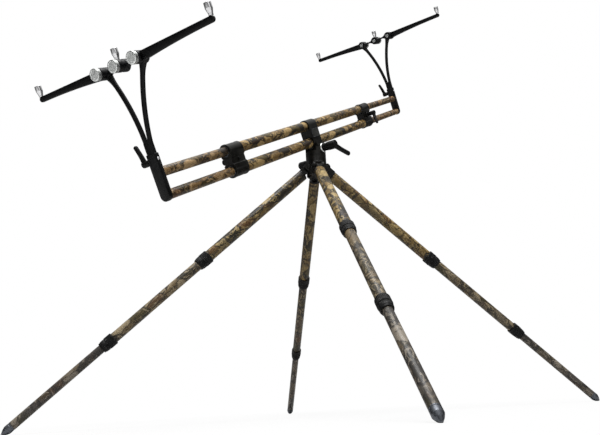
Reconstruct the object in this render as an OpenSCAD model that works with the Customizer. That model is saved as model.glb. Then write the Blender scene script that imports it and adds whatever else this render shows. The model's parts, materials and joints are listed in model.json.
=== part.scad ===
// Four-legged stand for three fishing rods: a tilting twin-tube bar on a swivel head,
// telescopic bar ends and legs, and a folding three-rod fork at each end.
// Millimetres, +Z up. The origin is on the ground, under the middle of the overall box.

/* [Legs] */
// Leg length from the hinge to the tip of the foot
leg_len = 779.7; // [640:0.1:900]
// Angle of a leg from the vertical
leg_splay = 48.66; // [40:0.01:54]
// Angle of a leg from the bar's direction, seen from above
leg_plan = 43.1; // [40:0.1:50]
// Distance from the hub's axis to a leg's hinge pin
leg_hinge_r = 20; // [19:0.5:24]
// Drop of a leg tube's axis below its hinge pin
leg_drop = 4; // [3:0.5:6]
// Outer diameter of the lowest leg tube
leg_lower_d = 16; // [12:0.5:18]
// Wall of the upper and middle leg tubes
leg_wall = 1.67; // [1:0.01:2]
// Wall of the lowest leg tube
leg_lower_wall = 1.5; // [1:0.1:3]
// Distance from the hinge to the middle of the upper collar
upper_collar_at = 305.7; // [280:0.1:340]
// Distance from the hinge to the middle of the lower collar
lower_collar_at = 545.7; // [520:0.1:600]
// Length of a collar
collar_len = 29; // [20:1:40]
// Wall of a collar around its tube
collar_wall = 2.4; // [1.8:0.1:4]
// Length of a leg tube that stays inside the next one
leg_overlap = 72; // [50:1:90]
// Diameter of a leg's hinge pin
leg_pin_d = 6; // [4:0.5:8]
// Width of the knuckle on top of a leg
knuckle_w = 12; // [10:0.5:13]
// Radius of the knuckle around its pin
knuckle_r = 7.25; // [6.5:0.25:8]
// Length of the knuckle's plug in the leg tube
knuckle_plug = 26; // [15:1:40]
// Thickness of the knuckle's flange on the tube's end
knuckle_flange = 3.5; // [2:0.5:6]
// Length of a foot's straight part
foot_rim = 10.5; // [5:0.5:20]
// Length of a foot's cone
foot_cone = 12.5; // [10:0.5:20]
// Length of a foot's plug in the tube
foot_plug = 20; // [10:1:40]

/* [Hub and head] */
// Outer radius of the hub and of the swivel head
hub_r = 22; // [21:0.5:26]
// Height of the hub above the leg hinges
hub_above = 28.2; // [25:0.2:34]
// Depth of the hub below the leg hinges
hub_below = 17.8; // [16:0.2:24]
// Thickness of a hinge ear
ear_t = 5; // [3:0.5:7]
// Rim of an ear around the knuckle
ear_rim = 1.25; // [1:0.25:3]
// Diameter of the swivel spigot
spigot_d = 18; // [12:0.5:20]
// Height of the tilt bolt above the head's underside
tilt_rise = 15.7; // [14.5:0.1:24]
// Thickness of the head's floor under the bar
head_floor = 6.7; // [3:0.1:7]
// Height of the head's cheeks above the tilt bolt
cheek_rise = 12; // [9:0.5:14]
// Diameter of the tilt bolt
tilt_bolt_d = 8; // [6:0.5:9]
// Radius of the washer under the tilt lever
washer_r = 10.8; // [8:0.1:12]
// Thickness of the washer under the tilt lever
washer_t = 2.6; // [1:0.1:4]
// Distance from the hub's axis to the washer's seat
washer_seat = 19; // [17.5:0.5:20.5]
// Height of the swivel knob above the leg hinges
swivel_knob_at = 15.8; // [14.5:0.1:17]
// Diameter of the swivel knob
swivel_knob_d = 18; // [12:1:20]
// Length of the swivel knob
swivel_knob_len = 22; // [12:1:30]

/* [Main bar] */
// Angle of the bar from level, front end low
tilt = 27.5; // [0:0.5:40]
// Outer diameter of an extension tube
ext_d = 16.4; // [12:0.1:18]
// Wall of an extension tube
ext_wall = 1.5; // [1:0.1:3]
// Wall of a main tube
main_wall = 1.97; // [1:0.01:2.5]
// Height of the lower main tube's axis over the tilt bolt
lower_tube_z = 18.5; // [16:0.5:24]
// Spacing of the two main tubes
tube_pitch = 37.1; // [30:0.1:48]
// Half the length of a main tube
main_half = 312; // [280:1:340]
// Wall of the blocks around the main tubes
block_wall = 2.5; // [1.5:0.1:3]
// Length of the centre block along the bar
centre_len = 36; // [26:1:42]
// Radius of the centre block's eye around the tilt bolt
eye_r = 8.5; // [6.5:0.1:8.5]
// Length of a clamp block along the bar
clamp_len = 42; // [30:1:60]
// Lip of a clamp block past the end of the main tubes
clamp_lip = 5; // [2:0.5:10]
// Distance from the tilt bolt to the front fork
bar_front = 496; // [450:1:560]
// Distance from the tilt bolt to the rear fork
bar_rear = 523.6; // [450:0.2:580]
// Length of an extension tube inside a main tube
ext_overlap = 125; // [100:1:150]

/* [Uprights and forks] */
// Width of an upright across the bar
upright_w = 19; // [18:0.5:26]
// Thickness of an upright along the bar
upright_t = 10; // [9.5:0.5:16]
// Height of an upright above the lower tube's axis
upright_top = 67.5; // [62:0.5:90]
// Height of an upright's lever above the lower tube's axis
upright_lever_at = 55.5; // [52:0.5:57]
// Width of a fork's stem across the bar
stem_w = 16; // [14.5:0.5:16.5]
// Thickness of a fork's stem along the bar
stem_t = 7; // [5:0.1:7.5]
// Thickness of a fork's arms along the bar
arm_t = 6; // [4:0.1:6.5]
// Height of the crotch of a fork above the lower tube's axis
crotch_z = 86; // [80:0.5:100]
// Length of a fork's stem inside its upright
stem_in = 66; // [40:1:70]
// Width of a fork's arms
arm_w = 7; // [4:0.1:7.2]
// Angle of a fork's arm from its stem at the crotch
arm_lean = 7; // [2:0.5:12]
// Height of the three pivots above the lower tube's axis
pivot_z = 207.5; // [190:0.5:230]
// Distance from the middle of a fork to a wing's pivot
pivot_y = 40.7; // [34:0.1:50]
// Radius of the barrels around the pivots
barrel_r = 10; // [8:0.25:11]
// Setback of a fork's arms at the pivots from the plane of its stem
arm_back = 7.5; // [5:0.5:8]
// Length of a fork's barrel at a wing's pivot
barrel_len = 11.5; // [11.5:0.5:15]
// Diameter of the link between a fork's barrels
link_d = 5; // [3:0.5:7]

/* [Wings, knobs and rests] */
// Thickness of a wing along the bar
wing_t = 6; // [5.5:0.5:8]
// Length of the boss around a wing's pivot
wing_boss = 12; // [9:0.5:16]
// Distance from the middle of a fork to an outer rod rest
rest_y = 188.2; // [150:0.2:240]
// Depth of a wing at its pivot
wing_root = 15; // [12:0.5:16.5]
// Depth of a wing at its tip
wing_tip = 8; // [7:0.1:10]
// Drop of a wing's top edge below the top of its boss
wing_drop = 3; // [1:0.1:4]
// Rise of a wing's top edge from its boss to its tip
wing_rise = 1.8; // [0:0.1:4]
// Diameter of a pivot bolt
pivot_bolt_d = 6; // [4:0.5:7]
// Radius of a pivot knob
knob_r = 10; // [8:0.25:11]
// Thickness of a pivot knob
knob_t = 7; // [4:0.5:12]
// Radius of a rod rest's socket at its top
rest_top_r = 5.6; // [5.2:0.1:8]
// Radius of a rod rest's socket at its foot
rest_foot_r = 2.9; // [2.5:0.1:4]
// Height of a rod rest's socket
rest_h = 18; // [16:0.5:28]
// Diameter of the threaded hole in a rod rest's socket
rest_hole_d = 8.3; // [6:0.1:8.6]
// Depth of the threaded hole in a rod rest's socket
rest_hole_h = 8.5; // [6:0.5:8.5]
// Diameter of the stud under a rod rest's socket
rest_stud_d = 4; // [3:0.5:4.5]

/* [Levers] */
// Diameter of the studs of the clamp levers
stud_d = 6; // [4:0.5:7]
// Radius of the tilt lever's boss
tilt_boss_r = 9.5; // [7:0.25:11]
// Length of the tilt lever's boss
tilt_boss_len = 29; // [20:1:40]
// Length of the tilt lever's handle
tilt_handle_len = 46; // [30:1:70]
// Radius of the tilt lever's handle
tilt_handle_r = 4.8; // [3:0.1:6]
// Angle of the tilt lever's handle from level, pointing to the rear
tilt_handle_turn = -14; // [-40:1:40]
// Radius of a clamp lever's boss
lever_boss_r = 5.5; // [5:0.25:7]
// Length of the front clamp lever's boss
front_boss_len = 12; // [11:1:30]
// Length of the rear clamp lever's boss
rear_boss_len = 19; // [11:1:30]
// Length of an upright lever's boss
upright_boss_len = 14; // [11:1:30]
// Length of a clamp lever's handle
lever_handle_len = 30; // [20:1:40]
// Radius of a clamp lever's handle
lever_handle_r = 3.6; // [2.5:0.1:4]
// Outward lean of the levers' handles
lever_lean = 16; // [5:1:30]

/* [Clearances] */
// Radial gap of a sliding tube
slide_gap = 0.08; // [0.04:0.01:0.1]
// Radial gap of a pin or a bolt in its hole
pin_gap = 0.05; // [0.02:0.01:0.1]
// Gap between faces that move past each other
face_gap = 0.4; // [0.2:0.05:0.5]

/* [Hidden] */
$fn = 64;

// How far a cut runs past the face that it starts from
over = 1;
// Small edges that are broken at a slope
knob_edge = 1;
boss_edge = 1.5;
rest_edge = 0.6;
arm_edge = 1;
collar_edge = 1.5;
collar_taper = 2.2;
// Gap under the hub that lets a leg's flange swing past
neck_gap = 1.6;
// Raised panel on the centre block
panel_rise = 0.7;
panel_margin = 3;
// Heads of the leg pins and nuts of the pivot bolts
pin_head_t = 1.5;
nut_t = 3;
// Wall under the stud of the middle rod rest, and the flat that the rest stands on
stud_floor = 1;
flat_depth = 1;
// Height over which a fork's arms grow out of its stem, and their inset from its sides
arm_root = 6;
arm_inset = 0.5;
// Slopes at the two ends of the swivel knob
knob_neck_h = 4;
knob_nose_h = 5;
// Stop between the ears of a leg hinge
stop_h = 6;
stop_drop = 2;

// Tube sizes, from the inside out
leg_lower_r = leg_lower_d / 2;
leg_mid_r = leg_lower_r + slide_gap + leg_wall;
leg_upper_r = leg_mid_r + slide_gap + leg_wall;
ext_r = ext_d / 2;
main_r = ext_r + slide_gap + main_wall;
block_r = main_r + block_wall;

// Heights: the feet stand on the ground, and everything else follows
hinge_z = leg_drop * sin(leg_splay) + leg_len * cos(leg_splay);
hub_top = hinge_z + hub_above;
hub_bottom = hinge_z - hub_below;
tilt_z = hub_top + face_gap / 2 + tilt_rise;

// Stations along a leg, measured from its hinge
neck = hub_below + neck_gap;
tube_top = neck + knuckle_flange;
collar_grip = collar_len * 0.64;
upper_end = upper_collar_at - collar_len / 2 + collar_grip;
mid_end = lower_collar_at - collar_len / 2 + collar_grip;
lower_end = leg_len - foot_cone - foot_rim;

// Places across and along the bar
cheek_in = block_r + face_gap;
slot_half = knuckle_w / 2 + face_gap;
upper_tube_z = lower_tube_z + tube_pitch;
clamp_mid = main_half + clamp_lip - clamp_len / 2;
clamp_lever_z = lower_tube_z + tube_pitch / 2;
ear_r = knuckle_r + ear_rim;
pin_head_r = leg_pin_d * 0.75;

// Places on a fork, in its own end's frame: +X points away from the hub
wing_x = face_gap / 2;
knob_x = wing_x + wing_boss + face_gap / 2;
wing_mid = wing_x + wing_t / 2;
wing_top = pivot_z + barrel_r - wing_drop;
rest_z = wing_top + wing_rise;
centre_flat = pivot_z + barrel_r - flat_depth;
stem_bottom = upright_top - stem_in;

// The overall box reaches from the front knobs or rod rests to the foot of the rear upright
rest_edge_x = -(bar_front + wing_mid + rest_top_r) * cos(tilt)
    - (lower_tube_z + max(rest_z, centre_flat) + rest_h - rest_edge) * sin(tilt);
knob_edge_x = -(bar_front + knob_x + knob_t) * cos(tilt)
    - (lower_tube_z + pivot_z + knob_r - knob_edge) * sin(tilt);
front_edge = min(rest_edge_x, knob_edge_x);
rear_edge = (bar_rear + upright_t / 2) * cos(tilt) - (lower_tube_z - upright_w / 2) * sin(tilt);
pod_x = -(front_edge + rear_edge) / 2;

black = [0.10, 0.10, 0.11];
plastic = [0.16, 0.16, 0.16];
camo = [0.42, 0.36, 0.25];
silver = [0.76, 0.77, 0.78];
grey = [0.46, 0.47, 0.49];

// Legs by name, with the plan angle of each
LEGS = ["front_right", "front_left", "rear_right", "rear_left"];
leg_turns = [180 + leg_plan, 180 - leg_plan, -leg_plan, leg_plan];
ENDS = ["front", "rear"];
SIDES = ["left", "right"];
LEG_PIECES = ["leg_knuckle", "upper_leg", "upper_collar", "middle_leg", "lower_collar", "lower_leg",
    "foot"];
END_PIECES = ["clamp_block", "clamp_lever", "extension_tubes", "upright", "upright_lever", "fork",
    "fork_knobs", "centre_rest"];

// Frames

// The hub's axis
module pod() {
    translate([pod_x, 0, 0]) children();
}

// A leg: the hinge pin is the Y axis, the leg runs along -Z
module leg(turn) {
    pod() rotate([0, 0, turn]) translate([leg_hinge_r, 0, hinge_z]) rotate([0, -leg_splay, 0]) children();
}

// A leg tube's own axis, with z measured down the leg from the hinge
module leg_axis(turn) {
    leg(turn) translate([-leg_drop, 0, 0]) mirror([0, 0, 1]) children();
}

// The bar: the tilt bolt is the Y axis, +X runs up to the rear
module bar() {
    pod() translate([0, 0, tilt_z]) rotate([0, -tilt, 0]) children();
}

// One half of the bar: +X points from the tilt bolt to that end
module half(end) {
    bar() mirror([end == "front" ? 1 : 0, 0, 0]) children();
}

// One end of the bar: the fork's plane is X = 0 and the lower tube's axis is Z = 0
module tip(end) {
    half(end) translate([end == "front" ? bar_front : bar_rear, 0, lower_tube_z]) children();
}

// Shared shapes

module rod_x(r, x, len) {
    translate([x, 0, 0]) rotate([0, 90, 0]) cylinder(r = r, h = len);
}

module rod_y(r, len) {
    rotate([90, 0, 0]) cylinder(r = r, h = len, center = true);
}

module tube_x(r, bore_r, x, len) {
    difference() {
        rod_x(r, x, len);
        rod_x(bore_r, x - over, len + 2 * over);
    }
}

module tube_z(r, bore_r, z, end) {
    translate([0, 0, z]) difference() {
        cylinder(r = r, h = end - z);
        translate([0, 0, -over]) cylinder(r = bore_r, h = end - z + 2 * over);
    }
}

// A locking lever: the stud reaches into -Z, the boss stands on Z = 0, the handle points along +X
module lever(boss_r, boss_len, handle_r, handle_len, bolt_d, bolt_len) {
    flare = boss_len * 0.3;
    tip_r = handle_r * 0.9;
    translate([0, 0, -bolt_len]) cylinder(d = bolt_d, h = bolt_len + over);
    cylinder(r1 = boss_r * 0.88, r2 = boss_r, h = flare);
    translate([0, 0, flare]) cylinder(r = boss_r, h = boss_len - flare - boss_edge);
    translate([0, 0, boss_len - boss_edge]) cylinder(r1 = boss_r, r2 = boss_r - boss_edge, h = boss_edge);
    translate([0, 0, boss_len - handle_r - boss_edge / 2]) rotate([0, 90 - lever_lean, 0]) {
        cylinder(r1 = handle_r * 1.12, r2 = tip_r, h = handle_len);
        translate([0, 0, handle_len]) sphere(r = tip_r);
    }
}

// A lever that stands out along Y on the given side, with its handle turned from +X towards +Z
module lever_on(side, seat, turn) {
    rotate([-90 * side, 0, 0]) rotate([0, 0, -side * turn]) translate([0, 0, seat]) children();
}

// A collar: it grips the outer tube, and its lip closes on the inner one
module collar(outer_r, inner_r, at, tube_end) {
    rim = outer_r + collar_wall;
    top = at - collar_len / 2;
    low = at + collar_len / 2;
    step = tube_end + face_gap / 2;
    rotate_extrude() polygon([
        [outer_r + pin_gap, top], [rim - collar_edge / 2, top], [rim, top + collar_edge],
        [rim, top + collar_len * 0.55], [rim - collar_taper * 0.3, top + collar_len * 0.6],
        [rim - collar_taper * 0.64, low - collar_edge], [rim - collar_taper, low],
        [inner_r + slide_gap, low], [inner_r + slide_gap, step], [outer_r + pin_gap, step]]);
}

// A slab with round ends that wraps both tubes of the bar
module tube_block(x, len) {
    for (z = [lower_tube_z, upper_tube_z]) translate([0, 0, z]) rod_x(block_r, x, len);
    translate([x, -block_r, lower_tube_z]) cube([len, 2 * block_r, tube_pitch]);
}

// Hub and head

module leg_hub() {
    color(black) pod() difference() {
        union() {
            difference() {
                union() {
                    translate([0, 0, hub_bottom]) cylinder(r = hub_r, h = hub_above + hub_below);
                    for (turn = leg_turns) rotate([0, 0, turn]) hinge_ears();
                }
                for (turn = leg_turns) rotate([0, 0, turn]) knuckle_slot();
            }
            for (turn = leg_turns) rotate([0, 0, turn]) splay_stop();
        }
        for (turn = leg_turns) rotate([0, 0, turn]) translate([leg_hinge_r, 0, hinge_z])
            rod_y(leg_pin_d / 2 + pin_gap, 4 * hub_r);
        // Pockets for the heads of the pins
        for (turn = leg_turns, side = [-1, 1]) rotate([0, 0, turn])
            translate([leg_hinge_r, side * (slot_half + ear_t), hinge_z]) rotate([-90 * side, 0, 0])
            cylinder(r = pin_head_r + pin_gap, h = hub_r);
        translate([0, 0, hub_bottom - over])
            cylinder(d = spigot_d + 2 * pin_gap, h = hub_above + hub_below + 2 * over);
        translate([0, hub_r, hinge_z + swivel_knob_at]) rod_y(stud_d / 2 + pin_gap, 2 * hub_r);
    }
}

// A block with a round nose that the two ears of a hinge are cut from
module hinge_ears() {
    w = 2 * (slot_half + ear_t);
    translate([leg_hinge_r, 0, hinge_z]) rod_y(ear_r, w);
    translate([spigot_d / 2, -w / 2, hinge_z - ear_r]) cube([leg_hinge_r - spigot_d / 2, w, 2 * ear_r]);
}

module knuckle_slot() {
    inner = leg_hinge_r - knuckle_r - face_gap;
    translate([inner, -slot_half, hub_bottom - over])
        cube([2 * hub_r, 2 * slot_half, hub_below + knuckle_r + face_gap + over]);
}

// The bridge between the ears that a spread leg leans against
module splay_stop() {
    translate([leg_hinge_r, 0, hinge_z]) rotate([0, -leg_splay, 0])
        translate([knuckle_r + face_gap, -slot_half - ear_t / 2, -stop_drop])
        cube([ear_rim + over, 2 * slot_half + ear_t, stop_h]);
}

module leg_pins() {
    reach = slot_half + ear_t;
    color(silver) pod() for (turn = leg_turns) rotate([0, 0, turn]) translate([leg_hinge_r, 0, hinge_z]) {
        rod_y(leg_pin_d / 2, 2 * reach);
        for (side = [-1, 1]) translate([0, side * (reach + pin_head_t / 2), 0])
            rod_y(pin_head_r, pin_head_t);
    }
}

module swivel_knob() {
    color(plastic) pod() translate([0, 0, hinge_z + swivel_knob_at]) rotate([-90, 0, 0]) {
        translate([0, 0, spigot_d / 2 + face_gap]) cylinder(d = stud_d, h = hub_r - spigot_d / 2 + over);
        translate([0, 0, hub_r + face_gap]) {
            cylinder(d1 = swivel_knob_d * 0.6, d2 = swivel_knob_d, h = knob_neck_h);
            translate([0, 0, knob_neck_h])
                cylinder(d = swivel_knob_d, h = swivel_knob_len - knob_neck_h - knob_nose_h);
            translate([0, 0, swivel_knob_len - knob_nose_h])
                cylinder(d1 = swivel_knob_d, d2 = swivel_knob_d * 0.5, h = knob_nose_h);
        }
    }
}

module swivel_head() {
    color(black) pod() translate([0, 0, tilt_z]) difference() {
        union() {
            intersection() {
                translate([0, 0, -tilt_rise]) cylinder(r = hub_r, h = tilt_rise + cheek_rise);
                union() {
                    rod_y(cheek_rise, 3 * hub_r);
                    translate([-hub_r, -hub_r, -tilt_rise]) cube([2 * hub_r, 2 * hub_r, tilt_rise]);
                }
            }
            translate([0, 0, hub_bottom - tilt_z])
                cylinder(d = spigot_d, h = tilt_z - hub_bottom - tilt_rise + over);
        }
        translate([-2 * hub_r, -cheek_in, head_floor - tilt_rise])
            cube([4 * hub_r, 2 * cheek_in, 3 * hub_r]);
        rod_y(tilt_bolt_d / 2 + pin_gap, 3 * hub_r);
        rotate([90, 0, 0]) translate([0, 0, washer_seat]) cylinder(r = washer_r + face_gap, h = hub_r);
    }
}

module tilt_washer() {
    color(silver) pod() translate([0, 0, tilt_z]) rotate([90, 0, 0]) translate([0, 0, washer_seat])
        difference() {
            cylinder(r = washer_r, h = washer_t);
            translate([0, 0, -over]) cylinder(r = tilt_bolt_d / 2 + pin_gap, h = washer_t + 2 * over);
        }
}

module tilt_lever() {
    seat = washer_seat + washer_t + face_gap / 2;
    color(plastic) pod() translate([0, 0, tilt_z]) lever_on(-1, seat, tilt_handle_turn)
        lever(tilt_boss_r, tilt_boss_len, tilt_handle_r, tilt_handle_len, tilt_bolt_d, seat + hub_r);
}

// Legs

module leg_knuckle(turn) {
    color(black) leg(turn) difference() {
        union() {
            rod_y(knuckle_r, knuckle_w);
            translate([-knuckle_r, -knuckle_w / 2, -neck - over])
                cube([2 * knuckle_r, knuckle_w, neck + over]);
            translate([-leg_drop, 0, -tube_top]) cylinder(r = leg_upper_r, h = knuckle_flange);
            translate([-leg_drop, 0, -tube_top - knuckle_plug])
                cylinder(r = leg_mid_r + slide_gap - pin_gap, h = knuckle_plug + over);
        }
        rod_y(leg_pin_d / 2 + pin_gap, 2 * knuckle_w);
    }
}

module upper_leg(turn) {
    color(camo) leg_axis(turn) tube_z(leg_upper_r, leg_mid_r + slide_gap, tube_top, upper_end);
}

module upper_collar(turn) {
    color(plastic) leg_axis(turn) collar(leg_upper_r, leg_mid_r, upper_collar_at, upper_end);
}

module middle_leg(turn) {
    color(camo) leg_axis(turn) tube_z(leg_mid_r, leg_lower_r + slide_gap, upper_end - leg_overlap, mid_end);
}

module lower_collar(turn) {
    color(plastic) leg_axis(turn) collar(leg_mid_r, leg_lower_r, lower_collar_at, mid_end);
}

module lower_leg(turn) {
    color(camo) leg_axis(turn)
        tube_z(leg_lower_r, leg_lower_r - leg_lower_wall, mid_end - leg_overlap, lower_end);
}

module foot(turn) {
    plug_r = leg_lower_r - leg_lower_wall - pin_gap;
    color(grey) leg_axis(turn) rotate_extrude() polygon([
        [0, lower_end - foot_plug], [plug_r, lower_end - foot_plug], [plug_r, lower_end],
        [leg_lower_r, lower_end], [leg_lower_r, lower_end + foot_rim], [0, leg_len]]);
}

// Main bar

module centre_block() {
    color(black) bar() difference() {
        union() {
            tube_block(-centre_len / 2, centre_len);
            rod_y(eye_r, 2 * block_r);
            translate([-eye_r, -block_r, 0]) cube([2 * eye_r, 2 * block_r, lower_tube_z]);
            // A plain raised panel on each flank
            translate([panel_margin - centre_len / 2, -block_r - panel_rise, clamp_lever_z - tube_pitch / 4])
                cube([centre_len - 2 * panel_margin, 2 * (block_r + panel_rise), tube_pitch / 2]);
        }
        for (z = [lower_tube_z, upper_tube_z]) translate([0, 0, z])
            rod_x(main_r + pin_gap, -centre_len, 2 * centre_len);
        rod_y(tilt_bolt_d / 2 + pin_gap, 4 * block_r);
    }
}

module main_tubes() {
    color(camo) bar() for (z = [lower_tube_z, upper_tube_z]) translate([0, 0, z])
        tube_x(main_r, ext_r + slide_gap, -main_half, 2 * main_half);
}

module clamp_block(end) {
    color(black) half(end) difference() {
        tube_block(clamp_mid - clamp_len / 2, clamp_len);
        for (z = [lower_tube_z, upper_tube_z]) translate([0, 0, z]) {
            rod_x(main_r + pin_gap, clamp_mid - clamp_len, main_half - clamp_mid + clamp_len);
            rod_x(ext_r + slide_gap, clamp_mid, clamp_len);
        }
        translate([clamp_mid, 0, clamp_lever_z]) rod_y(stud_d / 2 + pin_gap, 4 * block_r);
    }
}

// The two clamp blocks are the same piece turned round, so their levers stand on opposite sides.
// The front handle lies along the bar towards the hub, the rear one hangs down.
module clamp_lever(end) {
    side = end == "front" ? 1 : -1;
    turn = end == "front" ? 180 : 270 - tilt;
    boss_len = end == "front" ? front_boss_len : rear_boss_len;
    color(plastic) half(end) translate([clamp_mid, 0, clamp_lever_z])
        lever_on(side, block_r + face_gap, turn)
        lever(lever_boss_r, boss_len, lever_handle_r, lever_handle_len, stud_d, 2 * block_r);
}

module extension_tubes(end) {
    reach = (end == "front" ? bar_front : bar_rear) - upright_t / 2;
    inner = main_half - ext_overlap;
    color(camo) half(end) for (z = [lower_tube_z, upper_tube_z]) translate([0, 0, z])
        tube_x(ext_r, ext_r - ext_wall, inner, reach - inner);
}

// Uprights and forks

module upright(end) {
    color(black) tip(end) difference() {
        union() {
            rod_x(upright_w / 2, -upright_t / 2, upright_t);
            translate([-upright_t / 2, -upright_w / 2, 0]) cube([upright_t, upright_w, upright_top]);
        }
        translate([-stem_t / 2 - slide_gap, -stem_w / 2 - slide_gap, stem_bottom - face_gap])
            cube([stem_t + 2 * slide_gap, stem_w + 2 * slide_gap, stem_in + face_gap + over]);
        translate([0, upright_w / 2, upright_lever_at]) rod_y(stud_d / 2 + pin_gap, upright_w);
    }
}

module upright_lever(end) {
    seat = upright_w / 2 + face_gap;
    color(plastic) tip(end) translate([0, 0, upright_lever_at]) lever_on(1, seat, 90)
        lever(lever_boss_r, upright_boss_len, lever_handle_r, lever_handle_len, stud_d,
            seat - stem_w / 2 - face_gap);
}

module fork(end) {
    centre_barrel = knob_x - face_gap / 2 + barrel_len;
    color(black) tip(end) difference() {
        union() {
            translate([-stem_t / 2, -stem_w / 2, stem_bottom])
                cube([stem_t, stem_w, crotch_z - stem_bottom]);
            for (side = [0, 1]) mirror([0, side, 0]) {
                fork_arm();
                translate([0, pivot_y, pivot_z]) rod_x(barrel_r, -barrel_len, barrel_len);
            }
            translate([0, 0, pivot_z]) {
                rod_x(barrel_r, -barrel_len, centre_barrel);
                translate([-arm_back, 0, 0]) rod_y(link_d / 2, 2 * pivot_y);
            }
        }
        for (y = [-pivot_y, 0, pivot_y]) translate([0, y, pivot_z])
            rod_x(pivot_bolt_d / 2 + pin_gap, -barrel_len - over, centre_barrel + 2 * over);
        // The flat and the hole for the middle rod rest
        translate([-barrel_len - over, -barrel_r, centre_flat])
            cube([centre_barrel + 2 * over, 2 * barrel_r, barrel_r]);
        translate([wing_mid, 0, pivot_z + pivot_bolt_d / 2 + stud_floor])
            cylinder(d = rest_stud_d + 2 * pin_gap, h = barrel_r);
    }
}

// One arm: a circular arc from the stem to the pivot, leaving the stem at the arm's lean.
// The arc's plane leans back from the stem to the middle of the barrel.
module fork_arm() {
    foot_y = stem_w / 2 - arm_w / 2 - arm_inset;
    foot_z = crotch_z - arm_root;
    chord = norm([pivot_y - foot_y, pivot_z - foot_z]);
    sweep = 2 * (atan2(pivot_y - foot_y, pivot_z - foot_z) - arm_lean);
    arc_r = chord / (2 * sin(sweep / 2));
    half_w = arm_w / 2;
    half_t = arm_t / 2;
    setback = atan(arm_back / (pivot_z - foot_z));
    translate([0, 0, foot_z]) rotate([0, -setback, 0])
        translate([0, foot_y + arc_r * cos(arm_lean), -arc_r * sin(arm_lean)])
        rotate([90, 0, 90]) rotate([0, 0, 180 - arm_lean - sweep])
        rotate_extrude(angle = sweep, $fn = 360) translate([arc_r, 0]) polygon([
            [-half_w, arm_edge - half_t], [arm_edge - half_w, -half_t], [half_w - arm_edge, -half_t],
            [half_w, arm_edge - half_t], [half_w, half_t - arm_edge], [half_w - arm_edge, half_t],
            [arm_edge - half_w, half_t], [-half_w, half_t - arm_edge]]);
}

// Each pivot's bolt: a flat round knob outside, the shank, and a nut inside
module fork_knobs(end) {
    back = -barrel_len - face_gap / 2;
    color(silver) tip(end) for (y = [-pivot_y, 0, pivot_y]) translate([0, y, pivot_z]) {
        rod_x(pivot_bolt_d / 2, back - nut_t, knob_x - back + nut_t + over);
        rod_x(pivot_bolt_d * 0.75, back - nut_t, nut_t);
        translate([knob_x, 0, 0]) rotate([0, 90, 0]) {
            cylinder(r = knob_r, h = knob_t - knob_edge);
            translate([0, 0, knob_t - knob_edge])
                cylinder(r1 = knob_r, r2 = knob_r - knob_edge, h = knob_edge);
        }
    }
}

// A wing: its depth falls from the root to the tip by the square of the distance left
module wing(end, side) {
    steps = 24;
    edge_z = function(t) wing_top + wing_rise * t;
    depth = function(t) wing_tip + (wing_root - wing_tip) * pow(1 - t, 2);
    lower = [for (i = [0 : steps]) let (t = i / steps)
        [pivot_y + t * (rest_y - pivot_y), edge_z(t) - depth(t)]];
    color(black) tip(end) mirror([0, side == "left" ? 0 : 1, 0]) difference() {
        union() {
            translate([wing_x, 0, 0]) rotate([90, 0, 90]) linear_extrude(wing_t)
                polygon(concat(lower, [[rest_y, edge_z(1)], [pivot_y, edge_z(0)]]));
            translate([0, pivot_y, pivot_z]) rod_x(barrel_r, wing_x, wing_boss);
            translate([0, rest_y, edge_z(1) - wing_tip / 2]) rod_x(wing_tip / 2, wing_x, wing_t);
        }
        translate([0, pivot_y, pivot_z]) rod_x(pivot_bolt_d / 2 + pin_gap, wing_x - over, wing_boss + 2 * over);
        translate([wing_mid, rest_y, 0]) cylinder(d = rest_stud_d + 2 * pin_gap, h = 2 * pivot_z);
    }
}

// A rod rest's socket: a cup with a threaded hole, on a stud
module rod_socket(stud_len) {
    rotate_extrude() polygon([
        [0, -stud_len], [rest_stud_d / 2, -stud_len], [rest_stud_d / 2, 0], [rest_foot_r, 0],
        [rest_top_r, rest_h * 0.5], [rest_top_r, rest_h - rest_edge], [rest_top_r - rest_edge, rest_h],
        [rest_hole_d / 2, rest_h], [rest_hole_d / 2, rest_h - rest_hole_h], [0, rest_h - rest_hole_h]]);
}

module wing_rest(end, side) {
    color(silver) tip(end) mirror([0, side == "left" ? 0 : 1, 0])
        translate([wing_mid, rest_y, rest_z]) rod_socket(wing_tip - stud_floor);
}

module centre_rest(end) {
    color(silver) tip(end) translate([wing_mid, 0, centre_flat])
        rod_socket(centre_flat - pivot_z - pivot_bolt_d / 2 - stud_floor - face_gap);
}

leg_hub();
leg_pins();
swivel_knob();
swivel_head();
tilt_washer();
tilt_lever();
centre_block();
main_tubes();

for (i = [0 : 3]) {
    leg = LEGS[i];
    turn = leg_turns[i];
    leg_knuckle(turn);
    upper_leg(turn);
    upper_collar(turn);
    middle_leg(turn);
    lower_collar(turn);
    lower_leg(turn);
    foot(turn);
}

for (end = ENDS) {
    clamp_block(end);
    clamp_lever(end);
    extension_tubes(end);
    upright(end);
    upright_lever(end);
    fork(end);
    fork_knobs(end);
    centre_rest(end);
    for (side = SIDES) {
        wing(end, side);
        wing_rest(end, side);
    }
}
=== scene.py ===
"""Dressed model of a four-legged rod pod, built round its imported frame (metres, +Z up)."""
import json
from collections import namedtuple
from math import pi, radians

import bmesh
import bpy
import numpy as np
from bpy.props import FloatProperty, FloatVectorProperty, IntProperty, PointerProperty
from mathutils import Matrix, Vector


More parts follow.
